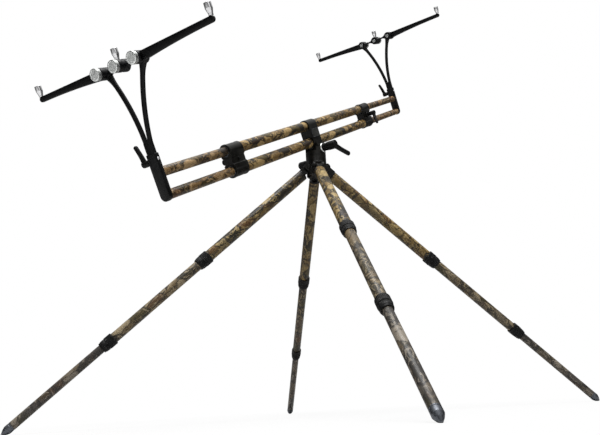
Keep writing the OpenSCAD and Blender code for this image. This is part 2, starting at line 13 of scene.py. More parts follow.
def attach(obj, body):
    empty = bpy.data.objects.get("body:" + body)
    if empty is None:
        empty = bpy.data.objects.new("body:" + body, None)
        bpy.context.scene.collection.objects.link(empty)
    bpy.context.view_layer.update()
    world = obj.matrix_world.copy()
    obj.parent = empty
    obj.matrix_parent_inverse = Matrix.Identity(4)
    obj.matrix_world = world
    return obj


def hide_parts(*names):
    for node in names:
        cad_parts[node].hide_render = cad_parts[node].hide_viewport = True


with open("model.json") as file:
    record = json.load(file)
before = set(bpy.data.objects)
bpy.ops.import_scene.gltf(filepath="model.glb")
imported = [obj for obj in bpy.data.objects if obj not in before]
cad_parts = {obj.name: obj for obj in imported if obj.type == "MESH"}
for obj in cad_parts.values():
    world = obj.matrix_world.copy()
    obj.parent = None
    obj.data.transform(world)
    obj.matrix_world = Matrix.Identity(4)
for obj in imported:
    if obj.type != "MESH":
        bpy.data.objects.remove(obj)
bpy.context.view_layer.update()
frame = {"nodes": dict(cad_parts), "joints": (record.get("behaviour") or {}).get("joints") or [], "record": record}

bl_info = {
    "name": "Rod pod",
    "version": (1, 0, 0),
    "blender": (4, 5, 0),
    "location": "View3D > Sidebar > Rod pod",
    "description": "Builds the pieces, finishes and stage of a telescopic rod pod",
    "category": "Add Mesh",
}

LEGS = ("front_right", "front_left", "rear_right", "rear_left")
ENDS = ("front", "rear")
SIDES = (("left", 1), ("right", -1))
JOINTS = {joint["name"]: joint for joint in frame["joints"]}
BODY_OF = {node: body for body, nodes in frame["record"]["behaviour"]["bodies"].items() for node in nodes}

# A local frame: an origin and three unit directions
Place = namedtuple("Place", "origin x y z")
# A softbox that faces the middle of the part: its power in watts and its width in metres
Lamp = namedtuple("Lamp", "name spot power width")

LAMPS = (Lamp("key", (-0.65, -0.3, 2.7), 74, 1.8), Lamp("fill", (-0.6, -2.6, 1.3), 9, 1.8),
         Lamp("rim", (1.6, 1.4, 2.8), 12, 1.6))
AIM = Vector((0, 0, 0.5))
FLOOR_HALF = 8.0
# CAD points count as level, or as equally far from an axis, within these distances
LEVEL = 1e-5
ROUND = 2e-5
# Share of a lever boss's radius at its foot, and of a barrel's radius in its bore
BOSS_FOOT = 0.88
BORE = 0.31
# Patches of the mottle in a metre
PATCHES = 54.0


# Sizes and colours that a user would change

def size(name, text, default):
    """A length in metres."""
    return FloatProperty(name=name, description=text, default=default, unit="LENGTH", precision=5)


def angle(name, text, degrees):
    """An angle, given in degrees."""
    return FloatProperty(name=name, description=text, default=radians(degrees), subtype="ANGLE")


def number(name, text, default):
    """A whole number."""
    return IntProperty(name=name, description=text, default=default)


def colour(name, text, default):
    """A linear colour."""
    return FloatVectorProperty(name=name, description=text, default=default, subtype="COLOR", min=0, max=1)


class POD_PG_sizes(bpy.types.PropertyGroup):
    """Sizes of the details that dress the frame."""
    edge: size("Edge", "Rounding of machined edges", 0.0008)
    rim: size("Tube rim", "Rounding of a tube's cut end", 0.0004)
    rib_depth: size("Rib depth", "Depth of the grip ribs on a collar", 0.00045)
    ribs: number("Ribs", "Grip ribs round a collar", 34)
    knurl_depth: size("Knurl depth", "Depth of the knurl on a knob's rim", 0.00014)
    knurls: number("Knurls", "Knurls round a knob's rim", 44)
    arm_w: size("Arm width", "Width of a fork's arm across the bar", 0.0078)
    arm_t: size("Arm depth", "Depth of a fork's arm along the bar", 0.006)
    arm_back: size("Arm setback", "Setback of a fork's arms at the pivots", 0.0075)
    arm_flare: size("Arm flare", "Growth of an arm where it meets its barrel", 0.0040)
    arm_lean: angle("Arm lean", "Lean of an arm at the crotch", 4)
    crotch: size("Crotch", "Depth of a fork's crotch below its pivots", 0.1215)
    arm_root: size("Arm root", "Height over which an arm grows out of the stem", 0.006)
    link_r: size("Link radius", "Radius of the link between a fork's barrels", 0.0025)
    wing_root: size("Wing root", "Depth of a wing at its pivot", 0.0165)
    wing_tip: size("Wing tip", "Depth of a wing at its tip", 0.0095)
    wing_drop: size("Wing drop", "Drop of a wing's top edge below its boss", 0.003)
    wing_rise: size("Wing rise", "Rise of a wing's top edge to its tip", 0.0018)
    tilt_boss: size("Tilt boss", "Radius of the tilt lever's boss", 0.0095)
    lever_boss: size("Lever boss", "Radius of a clamp or upright lever's boss", 0.0055)
    thread_step: size("Thread step", "Pitch of the thread in a rod rest", 0.0013)
    thread_depth: size("Thread depth", "Depth of the thread in a rod rest", 0.0005)
    flute_depth: size("Flute depth", "Depth of the flutes on the swivel knob", 0.0009)
    flutes: number("Flutes", "Flutes round the swivel knob", 10)
    screw_r: size("Screw radius", "Radius of the screw in an upright", 0.0023)
    screw_drop: size("Screw drop", "Distance of the screw from an upright's top", 0.0095)
    slack: size("Slack", "Room left round a sliding tube", 0.00006)


class POD_PG_colours(bpy.types.PropertyGroup):
    """Base colours of the finishes."""
    tan: colour("Tan", "Ground of the tubes' mottle", (0.230, 0.160, 0.075))
    pale: colour("Pale", "Palest flecks of the mottle", (0.52, 0.41, 0.25))
    olive: colour("Olive", "Middle patches of the mottle", (0.070, 0.056, 0.018))
    rust: colour("Rust", "Reddish patches of the mottle", (0.125, 0.064, 0.026))
    bark: colour("Bark", "Darkest patches of the mottle", (0.011, 0.0085, 0.0055))
    taupe: colour("Taupe", "Greyish clouds of the mottle", (0.135, 0.112, 0.082))
    black: colour("Black", "Anodised black parts", (0.0030, 0.0032, 0.0037))
    drab: colour("Drab", "Anodised blocks, hub and head", (0.0078, 0.0074, 0.0060))
    plastic: colour("Plastic", "Moulded black parts", (0.0032, 0.0032, 0.0031))
    silver: colour("Silver", "Turned pale knobs", (0.92, 0.94, 0.92))
    steel: colour("Steel", "Polished steel", (0.80, 0.80, 0.81))
    grey: colour("Grey", "Dull metal of the feet, bushes and panel borders", (0.105, 0.112, 0.125))
    panel: colour("Panel", "Bare panels on the centre block", (0.060, 0.060, 0.056))
    paper: colour("Paper", "Floor and backdrop", (0.93, 0.93, 0.93))


class POD_PG_camera(bpy.types.PropertyGroup):
    """The photograph's viewpoint, measured from the foot of the hub's axis."""
    stand: FloatVectorProperty(name="Stand", description="Camera's place", default=(-1.1331, -0.7010, 0.0288),
                               subtype="TRANSLATION")
    yaw: angle("Yaw", "Heading from +X", 33.54)
    pitch: angle("Pitch", "Angle above level", 15.94)
    roll: angle("Roll", "Turn about the line of sight", -3.0)
    lens: FloatProperty(name="Lens", description="Focal length in mm on a 36 mm sensor", default=38.86)


def sizes():
    return bpy.context.scene.pod_sizes


def colours():
    return bpy.context.scene.pod_colours


# Places, read from the frame's joints

def unit(v):
    return np.asarray(v, float) / np.linalg.norm(v)


def axis_place(origin, z, x_hint=(0.0, 0.0, 1.0)):
    """A right-handed place whose Z is the given axis, with Y square to it and to the hint."""
    z = unit(z)
    y = unit(np.cross(z, x_hint))
    return Place(np.asarray(origin, float), np.cross(y, z), y, z)


def joint_place(name):
    """A joint's own place: Z is its axis."""
    return axis_place(JOINTS[name]["pos_m"], JOINTS[name]["axis"])


def leg_place(leg):
    """A leg's own axis: Z runs down the leg from its hinge."""
    return joint_place(f"{leg}_upper_twist")


def bar_place():
    """The bar: Y is the tilt bolt, X runs up to the rear, along the tubes."""
    x = unit(JOINTS["rear_extension"]["axis"])
    z = unit(JOINTS["rear_fork_height"]["axis"])
    return Place(np.asarray(JOINTS["bar_tilt"]["pos_m"], float), x, np.cross(z, x), z)


def pivots(end):
    """The points about which an end's left and right wings fold."""
    return (np.asarray(JOINTS[f"{end}_{side}_wing_fold"]["pos_m"]) for side, _ in SIDES)


def tip_place(end):
    """An end's fork: the origin is midway between the wing pivots, X points away from the hub."""
    left, right = pivots(end)
    return Place((left + right) / 2, unit(JOINTS[f"{end}_extension"]["axis"]), unit(left - right),
                 unit(JOINTS[f"{end}_fork_height"]["axis"]))


def pivot_y(end):
    """Distance of a wing's pivot from the middle of its fork."""
    left, right = pivots(end)
    return np.linalg.norm(left - right) / 2


def along_x(place, shift=(0.0, 0.0, 0.0)):
    """A place whose Z is the given place's X, moved by a local shift."""
    return Place(to_world(place, np.array(shift, float)), place.y, place.z, place.x)


def along_z(place, shift):
    """The same directions, moved by a local shift."""
    return Place(to_world(place, np.array(shift, float)), place.x, place.y, place.z)


def to_world(place, points):
    return points @ np.array([place.x, place.y, place.z]) + place.origin


def to_local(place, points):
    return (points - place.origin) @ np.array([place.x, place.y, place.z]).T


def is_mirrored(place):
    return np.dot(np.cross(place.x, place.y), place.z) < 0


def placed(place, points, faces):
    """A surface of local points in the world, its faces turned over when the place is mirrored."""
    if is_mirrored(place):
        faces = [face[::-1] for face in faces]
    return to_world(place, points), faces, points


def cad_points(node, place):
    """The CAD node's vertices in a local place."""
    mesh = frame["nodes"][node].data
    flat = np.empty(len(mesh.vertices) * 3)
    mesh.vertices.foreach_get("co", flat)
    return to_local(place, flat.reshape(-1, 3))


def reach(node, place):
    """Lowest and highest local corner of a CAD node."""
    points = cad_points(node, place)
    return points.min(0), points.max(0)


def radii(points):
    """Distances of points from the Z axis."""
    return np.hypot(points[:, 0], points[:, 1])


def end_radius(points, within=LEVEL):
    """Radius at the low end of a turned node, such as its stud."""
    return radii(points)[points[:, 2] < points[:, 2].min() + within].max()


def boss_foot(points, boss_r):
    """Height at which a lever's boss starts."""
    return points[np.abs(radii(points) - boss_r * BOSS_FOOT) < ROUND][:, 2].min()


def bores(node, place):
    """Ends along Z and the radii at both ends of a tubular CAD node: (z0, z1, outer, bore0, bore1)."""
    points = cad_points(node, place)
    r = radii(points)
    z0, z1 = points[:, 2].min(), points[:, 2].max()
    near = (z1 - z0) * 0.02
    return z0, z1, r.max(), r[points[:, 2] < z0 + near].min(), r[points[:, 2] > z1 - near].min()


# Surfaces on grids

def grid(rows, capped=False):
    """Quads between neighbouring rings of points, each ring closed, and a polygon on both ends when capped."""
    count, turns = rows.shape[:2]
    index = np.arange(count * turns).reshape(count, turns)
    right = np.roll(index, -1, axis=1)
    faces = np.stack([index[:-1], right[:-1], right[1:], index[1:]], -1).reshape(-1, 4).tolist()
    if capped:
        faces += [index[0, ::-1].tolist(), index[-1].tolist()]
    return rows.reshape(-1, 3), faces


def sheet(rows, turned=False):
    """Quads of an open grid of points, facing the other way when turned."""
    index = np.arange(rows.shape[0] * rows.shape[1]).reshape(rows.shape[:2])
    faces = np.stack([index[:-1, :-1], index[1:, :-1], index[1:, 1:], index[:-1, 1:]], -1).reshape(-1, 4)
    return rows.reshape(-1, 3), (faces[:, ::-1] if turned else faces).tolist()


def soften(points, radius, steps=3, closed=False):
    """Each corner of a polyline becomes a parabola that starts and ends one radius from the corner."""
    points = np.asarray(points, float)
    before, after = np.roll(points, 1, axis=0), np.roll(points, -1, axis=0)
    into, out = before - points, after - points
    len_in = np.linalg.norm(into, axis=1, keepdims=True) + 1e-12
    len_out = np.linalg.norm(out, axis=1, keepdims=True) + 1e-12
    radius = np.broadcast_to(np.asarray(radius, float).reshape(-1, 1), len_in.shape)
    first = points + into * np.minimum(radius / len_in, 0.48)
    last = points + out * np.minimum(radius / len_out, 0.48)
    k = np.linspace(0, 1, steps + 1)[None, :, None]
    curves = (1 - k) ** 2 * first[:, None] + 2 * k * (1 - k) * points[:, None] + k ** 2 * last[:, None]
    if closed:
        return curves.reshape(-1, 2)
    return np.vstack([points[:1], curves[1:-1].reshape(-1, 2), points[-1:]])


def revolve(profile, place, turns=56, ripple=None, closed=False):
    """A profile of (radius, height) turned about Z: x = r cos a, y = r sin a, z = height.

    ripple(a, height) is added to the radius. A profile runs up outside and down inside.
    """
    a = np.linspace(0, 2 * pi, turns, endpoint=False)[None]
    r, h = np.asarray(profile, float).T[:, :, None]
    if ripple:
        r = r + ripple(a, h)
    rows = np.stack(np.broadcast_arrays(r * np.cos(a), r * np.sin(a), h), -1)
    if closed:
        rows = np.concatenate([rows, rows[:1]])
    return placed(place, *grid(rows))


def lathe(wall, place, ease, turns=48):
    """A closed wall section with eased corners, turned about Z."""
    return revolve(soften(wall, ease, closed=True), place, turns=turns, closed=True)


def ribs(depth, count, low, high, fade=0.0):
    """A ripple for revolve: a cosine round the piece, cut into it between two heights, faded in and out."""
    def ripple(a, h):
        if fade:
            on = np.clip((h - low) / fade, 0, 1) * np.clip((high - h) / fade, 0, 1)
        else:
            on = (h > low - 1e-6) & (h < high + 1e-6)
        return -depth * (0.5 - 0.5 * np.cos(count * a)) * on
    return ripple


def slab(outline, place, low, high, edge, steps=3):
    """A closed outline in X and Y carried from low to high along Z, with quarter-round rims.

    Each ring is the outline moved inward along its normals by edge (1 - sin q) at height edge (1 - cos q).
    """
    tangent = np.roll(outline, -1, axis=0) - np.roll(outline, 1, axis=0)
    normal = np.stack([tangent[:, 1], -tangent[:, 0]], -1)
    normal = normal / (np.linalg.norm(normal, axis=1, keepdims=True) + 1e-12)
    q = np.linspace(0, pi / 2, steps + 1)
    inset = np.concatenate([edge * (1 - np.sin(q)), edge * (1 - np.sin(q[::-1]))])
    height = np.concatenate([low + edge * (1 - np.cos(q)), high - edge * (1 - np.cos(q[::-1]))])
    flat = outline[None] - normal[None] * inset[:, None, None]
    tall = np.broadcast_to(height[:, None, None], flat.shape[:2] + (1,))
    return placed(place, *grid(np.concatenate([flat, tall], -1), capped=True))


def sweep(path, half_a, half_b, side, place, square, turns=28, ends=4):
    """A superellipse carried along a path: a cos^square on one half axis, b sin^square on the other.

    The first half axis is square to the path and to the side direction. The ends close in quarter rounds.
    """
    path = np.asarray(path, float)
    tangent = np.gradient(path, axis=0)
    tangent = tangent / np.linalg.norm(tangent, axis=1, keepdims=True)
    across = np.cross(np.broadcast_to(side, path.shape), tangent)
    across = across / np.linalg.norm(across, axis=1, keepdims=True)
    deep = np.cross(tangent, across)
    q = np.linspace(0, 1, ends + 1)[1:] * pi / 2
    half_a, half_b = np.broadcast_to(half_a, len(path)), np.broadcast_to(half_b, len(path))
    tip = min(half_a[-1], half_b[-1])
    shrink = np.concatenate([np.cos(q[::-1]), np.ones(len(path)), np.cos(q)])[:, None, None]
    shift = np.concatenate([-tip * np.sin(q[::-1]), np.zeros(len(path)), tip * np.sin(q)])[:, None, None]
    pick = np.concatenate([np.zeros(ends, int), np.arange(len(path)), np.full(ends, len(path) - 1)])
    a = np.linspace(0, 2 * pi, turns, endpoint=False)
    ca = np.sign(np.cos(a)) * np.abs(np.cos(a)) ** square
    sa = np.sign(np.sin(a)) * np.abs(np.sin(a)) ** square
    ring = (across[pick][:, None] * (half_a[pick][:, None] * ca)[..., None]
            + deep[pick][:, None] * (half_b[pick][:, None] * sa)[..., None])
    return placed(place, *grid(path[pick][:, None] + ring * shrink + tangent[pick][:, None] * shift))


def polygon_ring(radius, corners, place, low, high, edge):
    """A regular prism, as of a nut or a screw head."""
    a = np.arange(corners) * 2 * pi / corners
    outline = soften(np.stack([radius * np.cos(a), radius * np.sin(a)], -1), radius * 0.12, closed=True)
    return slab(outline, place, low, high, edge)


# Objects

def make_piece(name, parts, finish, body, nodes=(), smooth=32):
    """One mesh object from several surfaces: merged, faces outward, local places kept as an attribute."""
    points = np.vstack([part[0] for part in parts])
    local = np.vstack([part[2] for part in parts])
    starts = np.cumsum([0] + [len(part[0]) for part in parts[:-1]])
    faces = [[corner + start for corner in face] for part, start in zip(parts, starts) for face in part[1]]
    mesh = bpy.data.meshes.new(name)
    mesh.from_pydata(points.tolist(), [], faces)
    marks = mesh.attributes.new("own_place", "FLOAT_VECTOR", "POINT")
    marks.data.foreach_set("vector", local.astype(np.float32).ravel())
    clean(mesh)
    return dress(name, mesh, finish, body, nodes, smooth)


def clean(mesh, planar=False):
    """Merges points that coincide and drops faces without area, so seams and poles are closed."""
    work = bmesh.new()
    work.from_mesh(mesh)
    bmesh.ops.remove_doubles(work, verts=work.verts, dist=2e-6)
    bmesh.ops.dissolve_degenerate(work, edges=work.edges, dist=1e-7)
    if planar:
        bmesh.ops.dissolve_limit(work, verts=work.verts, edges=work.edges, angle_limit=radians(0.5))
    work.to_mesh(mesh)
    work.free()


def dress(name, mesh, finish, body, nodes, smooth):
    """Links the mesh as an object that rides on its body and stands for its CAD nodes."""
    mesh.polygons.foreach_set("use_smooth", np.ones(len(mesh.polygons), bool))
    mesh.set_sharp_from_angle(angle=radians(smooth))
    mesh.materials.append(finish)
    piece = bpy.data.objects.new(name, mesh)
    bpy.context.scene.collection.objects.link(piece)
    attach(piece, body)
    if nodes:
        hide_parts(*nodes)
    return piece


def node_piece(node, parts, finish, smooth=32):
    """A piece that stands for one CAD node, on its body."""
    return make_piece(f"{node}_shape", parts, finish, BODY_OF[node], (node,), smooth)


def eased_copy(node, finish, width):
    """A merged copy of a CAD node's mesh with its edges eased by a bevel."""
    mesh = frame["nodes"][node].data.copy()
    mesh.name = f"{node}_shape"
    mesh.materials.clear()
    clean(mesh, planar=True)
    piece = dress(f"{node}_shape", mesh, finish, BODY_OF[node], (node,), 30)
    ease = piece.modifiers.new("Eased edges", "BEVEL")
    ease.width = width
    ease.segments = 2
    ease.limit_method = "ANGLE"
    ease.angle_limit = radians(40)
    ease.use_clamp_overlap = True
    return piece


# Finishes

class Shader:
    """A material or world under construction: short calls that add nodes and links."""

    def __init__(self, owner, body="Principled BSDF"):
        owner.use_nodes = True
        self.owner = owner
        self.tree = owner.node_tree
        self.body = self.tree.nodes[body]

    def add(self, kind, **inputs):
        node = self.tree.nodes.new(kind)
        for key, value in inputs.items():
            self.join(value, node.inputs[key.replace("_", " ")])
        return node

    def join(self, value, socket):
        if isinstance(value, bpy.types.NodeSocket):
            self.tree.links.new(value, socket)
        elif socket.type == "RGBA":
            socket.default_value = (*value, 1)
        else:
            socket.default_value = value

    def place(self, source, scale=(1, 1, 1), shift=(0, 0, 0)):
        """Coordinates: the piece's own local place, or its Object coordinates."""
        if source == "own":
            node = self.tree.nodes.new("ShaderNodeAttribute")
            node.attribute_name = "own_place"
            out = node.outputs["Vector"]
        else:
            out = self.tree.nodes.new("ShaderNodeTexCoord").outputs["Object"]
        return self.add("ShaderNodeMapping", Vector=out, Scale=scale, Location=shift).outputs["Vector"]

    def noise(self, where, scale, detail=3.0, rough=0.55, warp=0.0):
        return self.add("ShaderNodeTexNoise", Vector=where, Scale=scale, Detail=detail, Roughness=rough,
                        Distortion=warp).outputs["Fac"]

    def steps(self, value, low, high, out_low=0.0, out_high=1.0):
        """A smooth step from out_low at low to out_high at high."""
        node = self.add("ShaderNodeMapRange", Value=value)
        node.interpolation_type = "SMOOTHSTEP"
        for key, number in zip(("From Min", "From Max", "To Min", "To Max"), (low, high, out_low, out_high)):
            node.inputs[key].default_value = number
        return node.outputs["Result"]

    def line(self, value, middle, width):
        """1 on the contour where a field has the middle value, falling to 0 beside it."""
        gap = self.math("SUBTRACT", value, middle)
        return self.steps(self.math("ABSOLUTE", gap), width * 0.35, width, 1.0, 0.0)

    def operate(self, node_kind, kind, values):
        node = self.tree.nodes.new(node_kind)
        node.operation = kind
        for value, socket in zip(values, node.inputs):
            self.join(value, socket)
        return node.outputs

    def math(self, kind, *values):
        return self.operate("ShaderNodeMath", kind, values)[0]

    def vector(self, kind, *values):
        """A vector operation. A length or a dot product comes out as a number."""
        outputs = self.operate("ShaderNodeVectorMath", kind, values)
        return outputs["Value" if kind in ("LENGTH", "DOT_PRODUCT") else "Vector"]

    def mix(self, share, a, b):
        node = self.tree.nodes.new("ShaderNodeMix")
        node.data_type = "RGBA"
        self.join(share, node.inputs[0])
        self.join(a, node.inputs[6])
        self.join(b, node.inputs[7])
        return node.outputs[2]

    def bump(self, height, strength, distance):
        node = self.add("ShaderNodeBump", Height=height, Strength=strength, Distance=distance)
        self.join(node.outputs["Normal"], self.body.inputs["Normal"])

    def rays(self):
        """1 for rays that come from the camera or through glass, and 1 for mirrored rays."""
        path = self.tree.nodes.new("ShaderNodeLightPath").outputs
        return self.math("MAXIMUM", path["Is Camera Ray"], path["Is Transmission Ray"]), path["Is Glossy Ray"]

    def set(self, **inputs):
        for key, value in inputs.items():
            self.join(value, self.body.inputs[key.replace("_", " ")])
        return self.owner


def scaled(tone, factor):
    return tuple(min(1.0, channel * factor) for channel in tone)


def tinted(tone, tint):
    return tuple(channel * share for channel, share in zip(tone, tint))


def mottled(name, tint, dark_share, veil=0.0):
    """Lacquered mottle: warped cells in tan, rust, olive and bark, dark seams, taupe clouds and pale streaks."""
    tone = colours()
    s = Shader(bpy.data.materials.new(name))
    where = s.place("own", scale=(1, 1, 0.6))
    swirl = s.add("ShaderNodeTexNoise", Vector=where, Scale=48.0, Detail=3.0, Roughness=0.6)
    warped = s.vector("MULTIPLY_ADD", swirl.outputs["Color"], (0.022, 0.022, 0.022), where)
    cells = s.add("ShaderNodeTexVoronoi", Vector=warped, Scale=PATCHES)
    split = s.add("ShaderNodeSeparateColor", Color=cells.outputs["Color"])
    shade, hue, _ = split.outputs
    seams = s.add("ShaderNodeTexVoronoi", Vector=warped, Scale=PATCHES)
    seams.feature = "DISTANCE_TO_EDGE"
    grain = s.noise(where, 190, 5, 0.65, 0.4)
    fibre = s.noise(s.place("own", scale=(1, 1, 0.16)), 320, 3, 0.6, 0.6)
    shade = s.math("ADD", shade, s.math("MULTIPLY", s.math("SUBTRACT", fibre, 0.5), 0.5))
    ground = s.mix(s.steps(hue, 0.50, 0.62), tinted(tone.olive, tint), tinted(tone.rust, tint))
    ground = s.mix(s.steps(shade, 0.40, 0.56), ground, tinted(tone.tan, tint))
    ground = s.mix(s.steps(shade, 0.80, 0.92, 0.0, 0.85), ground, tinted(tone.pale, tint))
    haze = s.steps(s.noise(where, 19, 3, 0.5, 0.4), 0.52, 0.64, 0.0, 0.7)
    ground = s.mix(haze, ground, tinted(tone.taupe, tint))
    ground = s.mix(s.steps(shade, 0.26, 0.12, 0.0, 0.9), ground, tone.bark)
    ground = s.mix(s.steps(seams.outputs["Distance"], 0.015, 0.09, 0.7, 0.0), ground, tone.bark)
    worn = s.steps(s.noise(where, 75, 2, 0.5, 0.0), 0.46, 0.58, 0.0, 0.75)
    rims = s.math("MULTIPLY", s.line(seams.outputs["Distance"], 0.15, 0.075), worn)
    ground = s.mix(rims, ground, tinted(tone.pale, tint))
    bands = s.noise(s.place("own", scale=(0.4, 0.4, 1), shift=(0.3, 0.1, 0)), 40, 4, 0.6, 1.2)
    bands = s.math("ADD", bands, s.math("MULTIPLY", s.math("SUBTRACT", grain, 0.5), 0.25))
    edge = 0.64 - 0.12 * dark_share
    ground = s.mix(s.steps(bands, edge, edge + 0.06, 0.0, 0.85), ground, tone.bark)
    straw = s.line(s.noise(where, 44, 1, 0.5, 0.9), 0.47, 0.022)
    straw = s.math("MULTIPLY", straw, s.steps(s.noise(where, 60, 2, 0.5, 0.0), 0.46, 0.56, 0.0, 0.6))
    ground = s.mix(straw, ground, tinted(tone.pale, tint))
    ground = s.mix(s.steps(grain, 0.35, 0.65, 0.0, 0.12), ground, tone.bark)
    ground = s.mix(veil, ground, tinted(tone.taupe, tint))
    s.bump(grain, 0.12, 0.0002)
    return s.set(Base_Color=ground, Roughness=s.steps(grain, 0.3, 0.7, 0.36, 0.50), Specular_IOR_Level=0.30,
                 Coat_Weight=0.08, Coat_Roughness=0.25)


def anodised(name, tone):
    """Satin black metal: faint cloudy shade, fine bead-blasted grain."""
    s = Shader(bpy.data.materials.new(name))
    where = s.place("object")
    cloud = s.noise(where, 60, 4, 0.6)
    grain = s.noise(where, 2600, 2, 0.5)
    s.bump(grain, 0.18, 0.00012)
    return s.set(Base_Color=s.mix(s.steps(cloud, 0.35, 0.65), scaled(tone, 0.7), scaled(tone, 1.5)),
                 Roughness=s.steps(cloud, 0.3, 0.7, 0.30, 0.44), Specular_IOR_Level=0.18)


def moulded(name, tone, flecks):
    """Moulded black plastic: fine leathery grain, and pale flecks that are partly wear and partly painted highlights
    on grip ribs.
    """
    s = Shader(bpy.data.materials.new(name))
    where = s.place("object")
    grain = s.noise(where, 1500, 3, 0.6)
    # Pale flecks: a few worn scuffs, and on the collars mostly painted highlights of the ribs
    scuffs_and_glints = s.steps(s.noise(where, 340, 3, 0.6), 0.57, 0.66, 0.0, flecks)
    s.bump(grain, 0.35, 0.0002)
    return s.set(Base_Color=s.mix(scuffs_and_glints, tone, scaled(tone, 30.0)), Roughness=s.steps(grain, 0.3, 0.7, 0.42, 0.58),
                 Specular_IOR_Level=0.15)


def turned(name, tone, rough, rings, relief):
    """Turned metal: fine rings round the piece's own axis, and a faint cloudy shade."""
    s = Shader(bpy.data.materials.new(name))
    where = s.place("own")
    ring = s.noise(s.add("ShaderNodeMapping", Vector=where, Scale=(0.02, 0.02, 1)).outputs["Vector"], rings, 2)
    cloud = s.noise(where, 240, 3, 0.6)
    s.bump(ring, relief, 0.0001)
    return s.set(Base_Color=s.mix(s.steps(cloud, 0.3, 0.7), scaled(tone, 0.92), scaled(tone, 1.04)), Metallic=1.0,
                 Roughness=s.steps(ring, 0.3, 0.7, rough * 0.85, rough * 1.2))


FINISH = {}


def finishes():
    """Every finish by name, made once."""
    if not FINISH:
        tone = colours()
        FINISH.update(
            warm=mottled("Mottle warm", (1.12, 0.98, 0.68), 0.80),
            leg=mottled("Mottle leg", (1.06, 1.0, 0.74), 0.70),
            grey_leg=mottled("Mottle grey", (0.95, 0.97, 1.00), 0.60, veil=0.12),
            dusk=mottled("Mottle dusk", (0.88, 0.97, 1.25), 0.50, veil=0.25),
            rose=mottled("Mottle rose", (1.14, 0.97, 0.80), 0.60),
            black=anodised("Black anodised", tone.black),
            drab=anodised("Drab anodised", tone.drab),
            panel=anodised("Grey anodised", tone.panel),
            plastic=moulded("Black moulded", tone.plastic, 0.06),
            # Collars: many pale flecks, which are painted highlights of the grip ribs
            grip=moulded("Black grip", tone.plastic, 0.75),
            silver=turned("Silver turned", tone.silver, 0.34, 2400, 0.03),
            # Painted shade: the knobs' silver at 0.45, so that their rims do not glare under the overhead light
            rim=turned("Silver rim painted shade", scaled(tone.silver, 0.45), 0.45, 2400, 0.03),
            steel=turned("Steel polished", tone.steel, 0.15, 1800, 0.02),
            grey=turned("Grey turned", tone.grey, 0.42, 1500, 0.15))
    return FINISH


# Pieces

def tube(place, outer, bore, z0, z1, shift):
    """A tube with softened rims. The shift moves its mottle, so that no two tubes look alike."""
    wall = [(outer, z0), (outer, z1), (bore, z1), (bore, z0)]
    points, faces, local = lathe(wall, place, sizes().rim)
    return points, faces, local + np.array(shift)


class POD_OT_tubes(bpy.types.Operator):
    """Lacquered tubes of the legs, the bar and its ends"""
    bl_idname = "pod.tubes"
    bl_label = "Tubes"

    def execute(self, context):
        look = finishes()
        for i, leg in enumerate(LEGS):
            for j, (part, finish) in enumerate((("upper", "leg"), ("middle", "grey_leg"), ("lower", "dusk"))):
                node, place = f"{leg}_{part}_leg", leg_place(leg)
                z0, z1, outer, bore, _ = bores(node, place)
                shift = (0.31 * i, 0.17 * j, 0.23 * i + 0.11 * j)
                node_piece(node, [tube(place, outer, bore, z0, z1, shift)], look[finish])
        bar = bar_place()
        self.pair("main_tubes", bar, look["warm"])
        for end in ENDS:
            self.pair(f"{end}_extension_tubes", bar, look["rose"])
        return {"FINISHED"}

    def pair(self, node, bar, finish):
        """Two parallel tubes of one node, one above the other."""
        points = cad_points(node, bar)
        low, high = points.min(0), points.max(0)
        outer = high[1]
        parts = []
        for z in (low[2] + outer, high[2] - outer):
            bore = np.hypot(points[:, 1], points[:, 2] - z).min()
            parts.append(tube(along_x(bar, (0, 0, z)), outer, bore, low[0], high[0], (1.7, 2.3, 5 * z)))
        node_piece(node, parts, finish)


class POD_OT_collars(bpy.types.Operator):
    """Twist collars with lengthwise grip ribs"""
    bl_idname = "pod.collars"
    bl_label = "Collars"

    def execute(self, context):
        for leg in LEGS:
            for part in ("upper", "lower"):
                self.collar(f"{leg}_{part}_collar", leg_place(leg))
        return {"FINISHED"}

    def collar(self, node, place):
        """Profile: a lip, a ribbed barrel, a groove and a stepped nose; ribs are a cosine round the barrel."""
        z0, z1, rim, wide, narrow = bores(node, place)
        span, step, count = z1 - z0, sizes().edge, sizes().ribs
        grip = (z0 + 0.12 * span, z0 + 0.52 * span)
        outside = [(rim - 2 * step, z0), (rim - 0.4 * step, z0 + 0.4 * step), (rim, z0 + 0.05 * span),
                   (rim, z0 + 0.10 * span)]
        outside += [(rim, z) for z in np.linspace(*grip, 7)]
        outside += [(rim, z0 + 0.54 * span), (rim - 1.2 * step, z0 + 0.56 * span),
                    (rim - 1.2 * step, z0 + 0.60 * span), (rim - 0.7 * step, z0 + 0.62 * span),
                    (rim - 1.4 * step, z0 + 0.86 * span), (rim - 2.2 * step, z0 + 0.88 * span),
                    (rim - 2.2 * step, z0 + 0.94 * span), (rim - 3.0 * step, z1)]
        inside = [(narrow, z1), (narrow, z0 + 0.66 * span), (wide, z0 + 0.66 * span), (wide, z0)]
        grooves = ribs(sizes().rib_depth, count, *grip)
        parts = [revolve(np.array(outside + inside), place, turns=count * 6, ripple=grooves, closed=True)]
        node_piece(node, parts, finishes()["grip"], smooth=40)


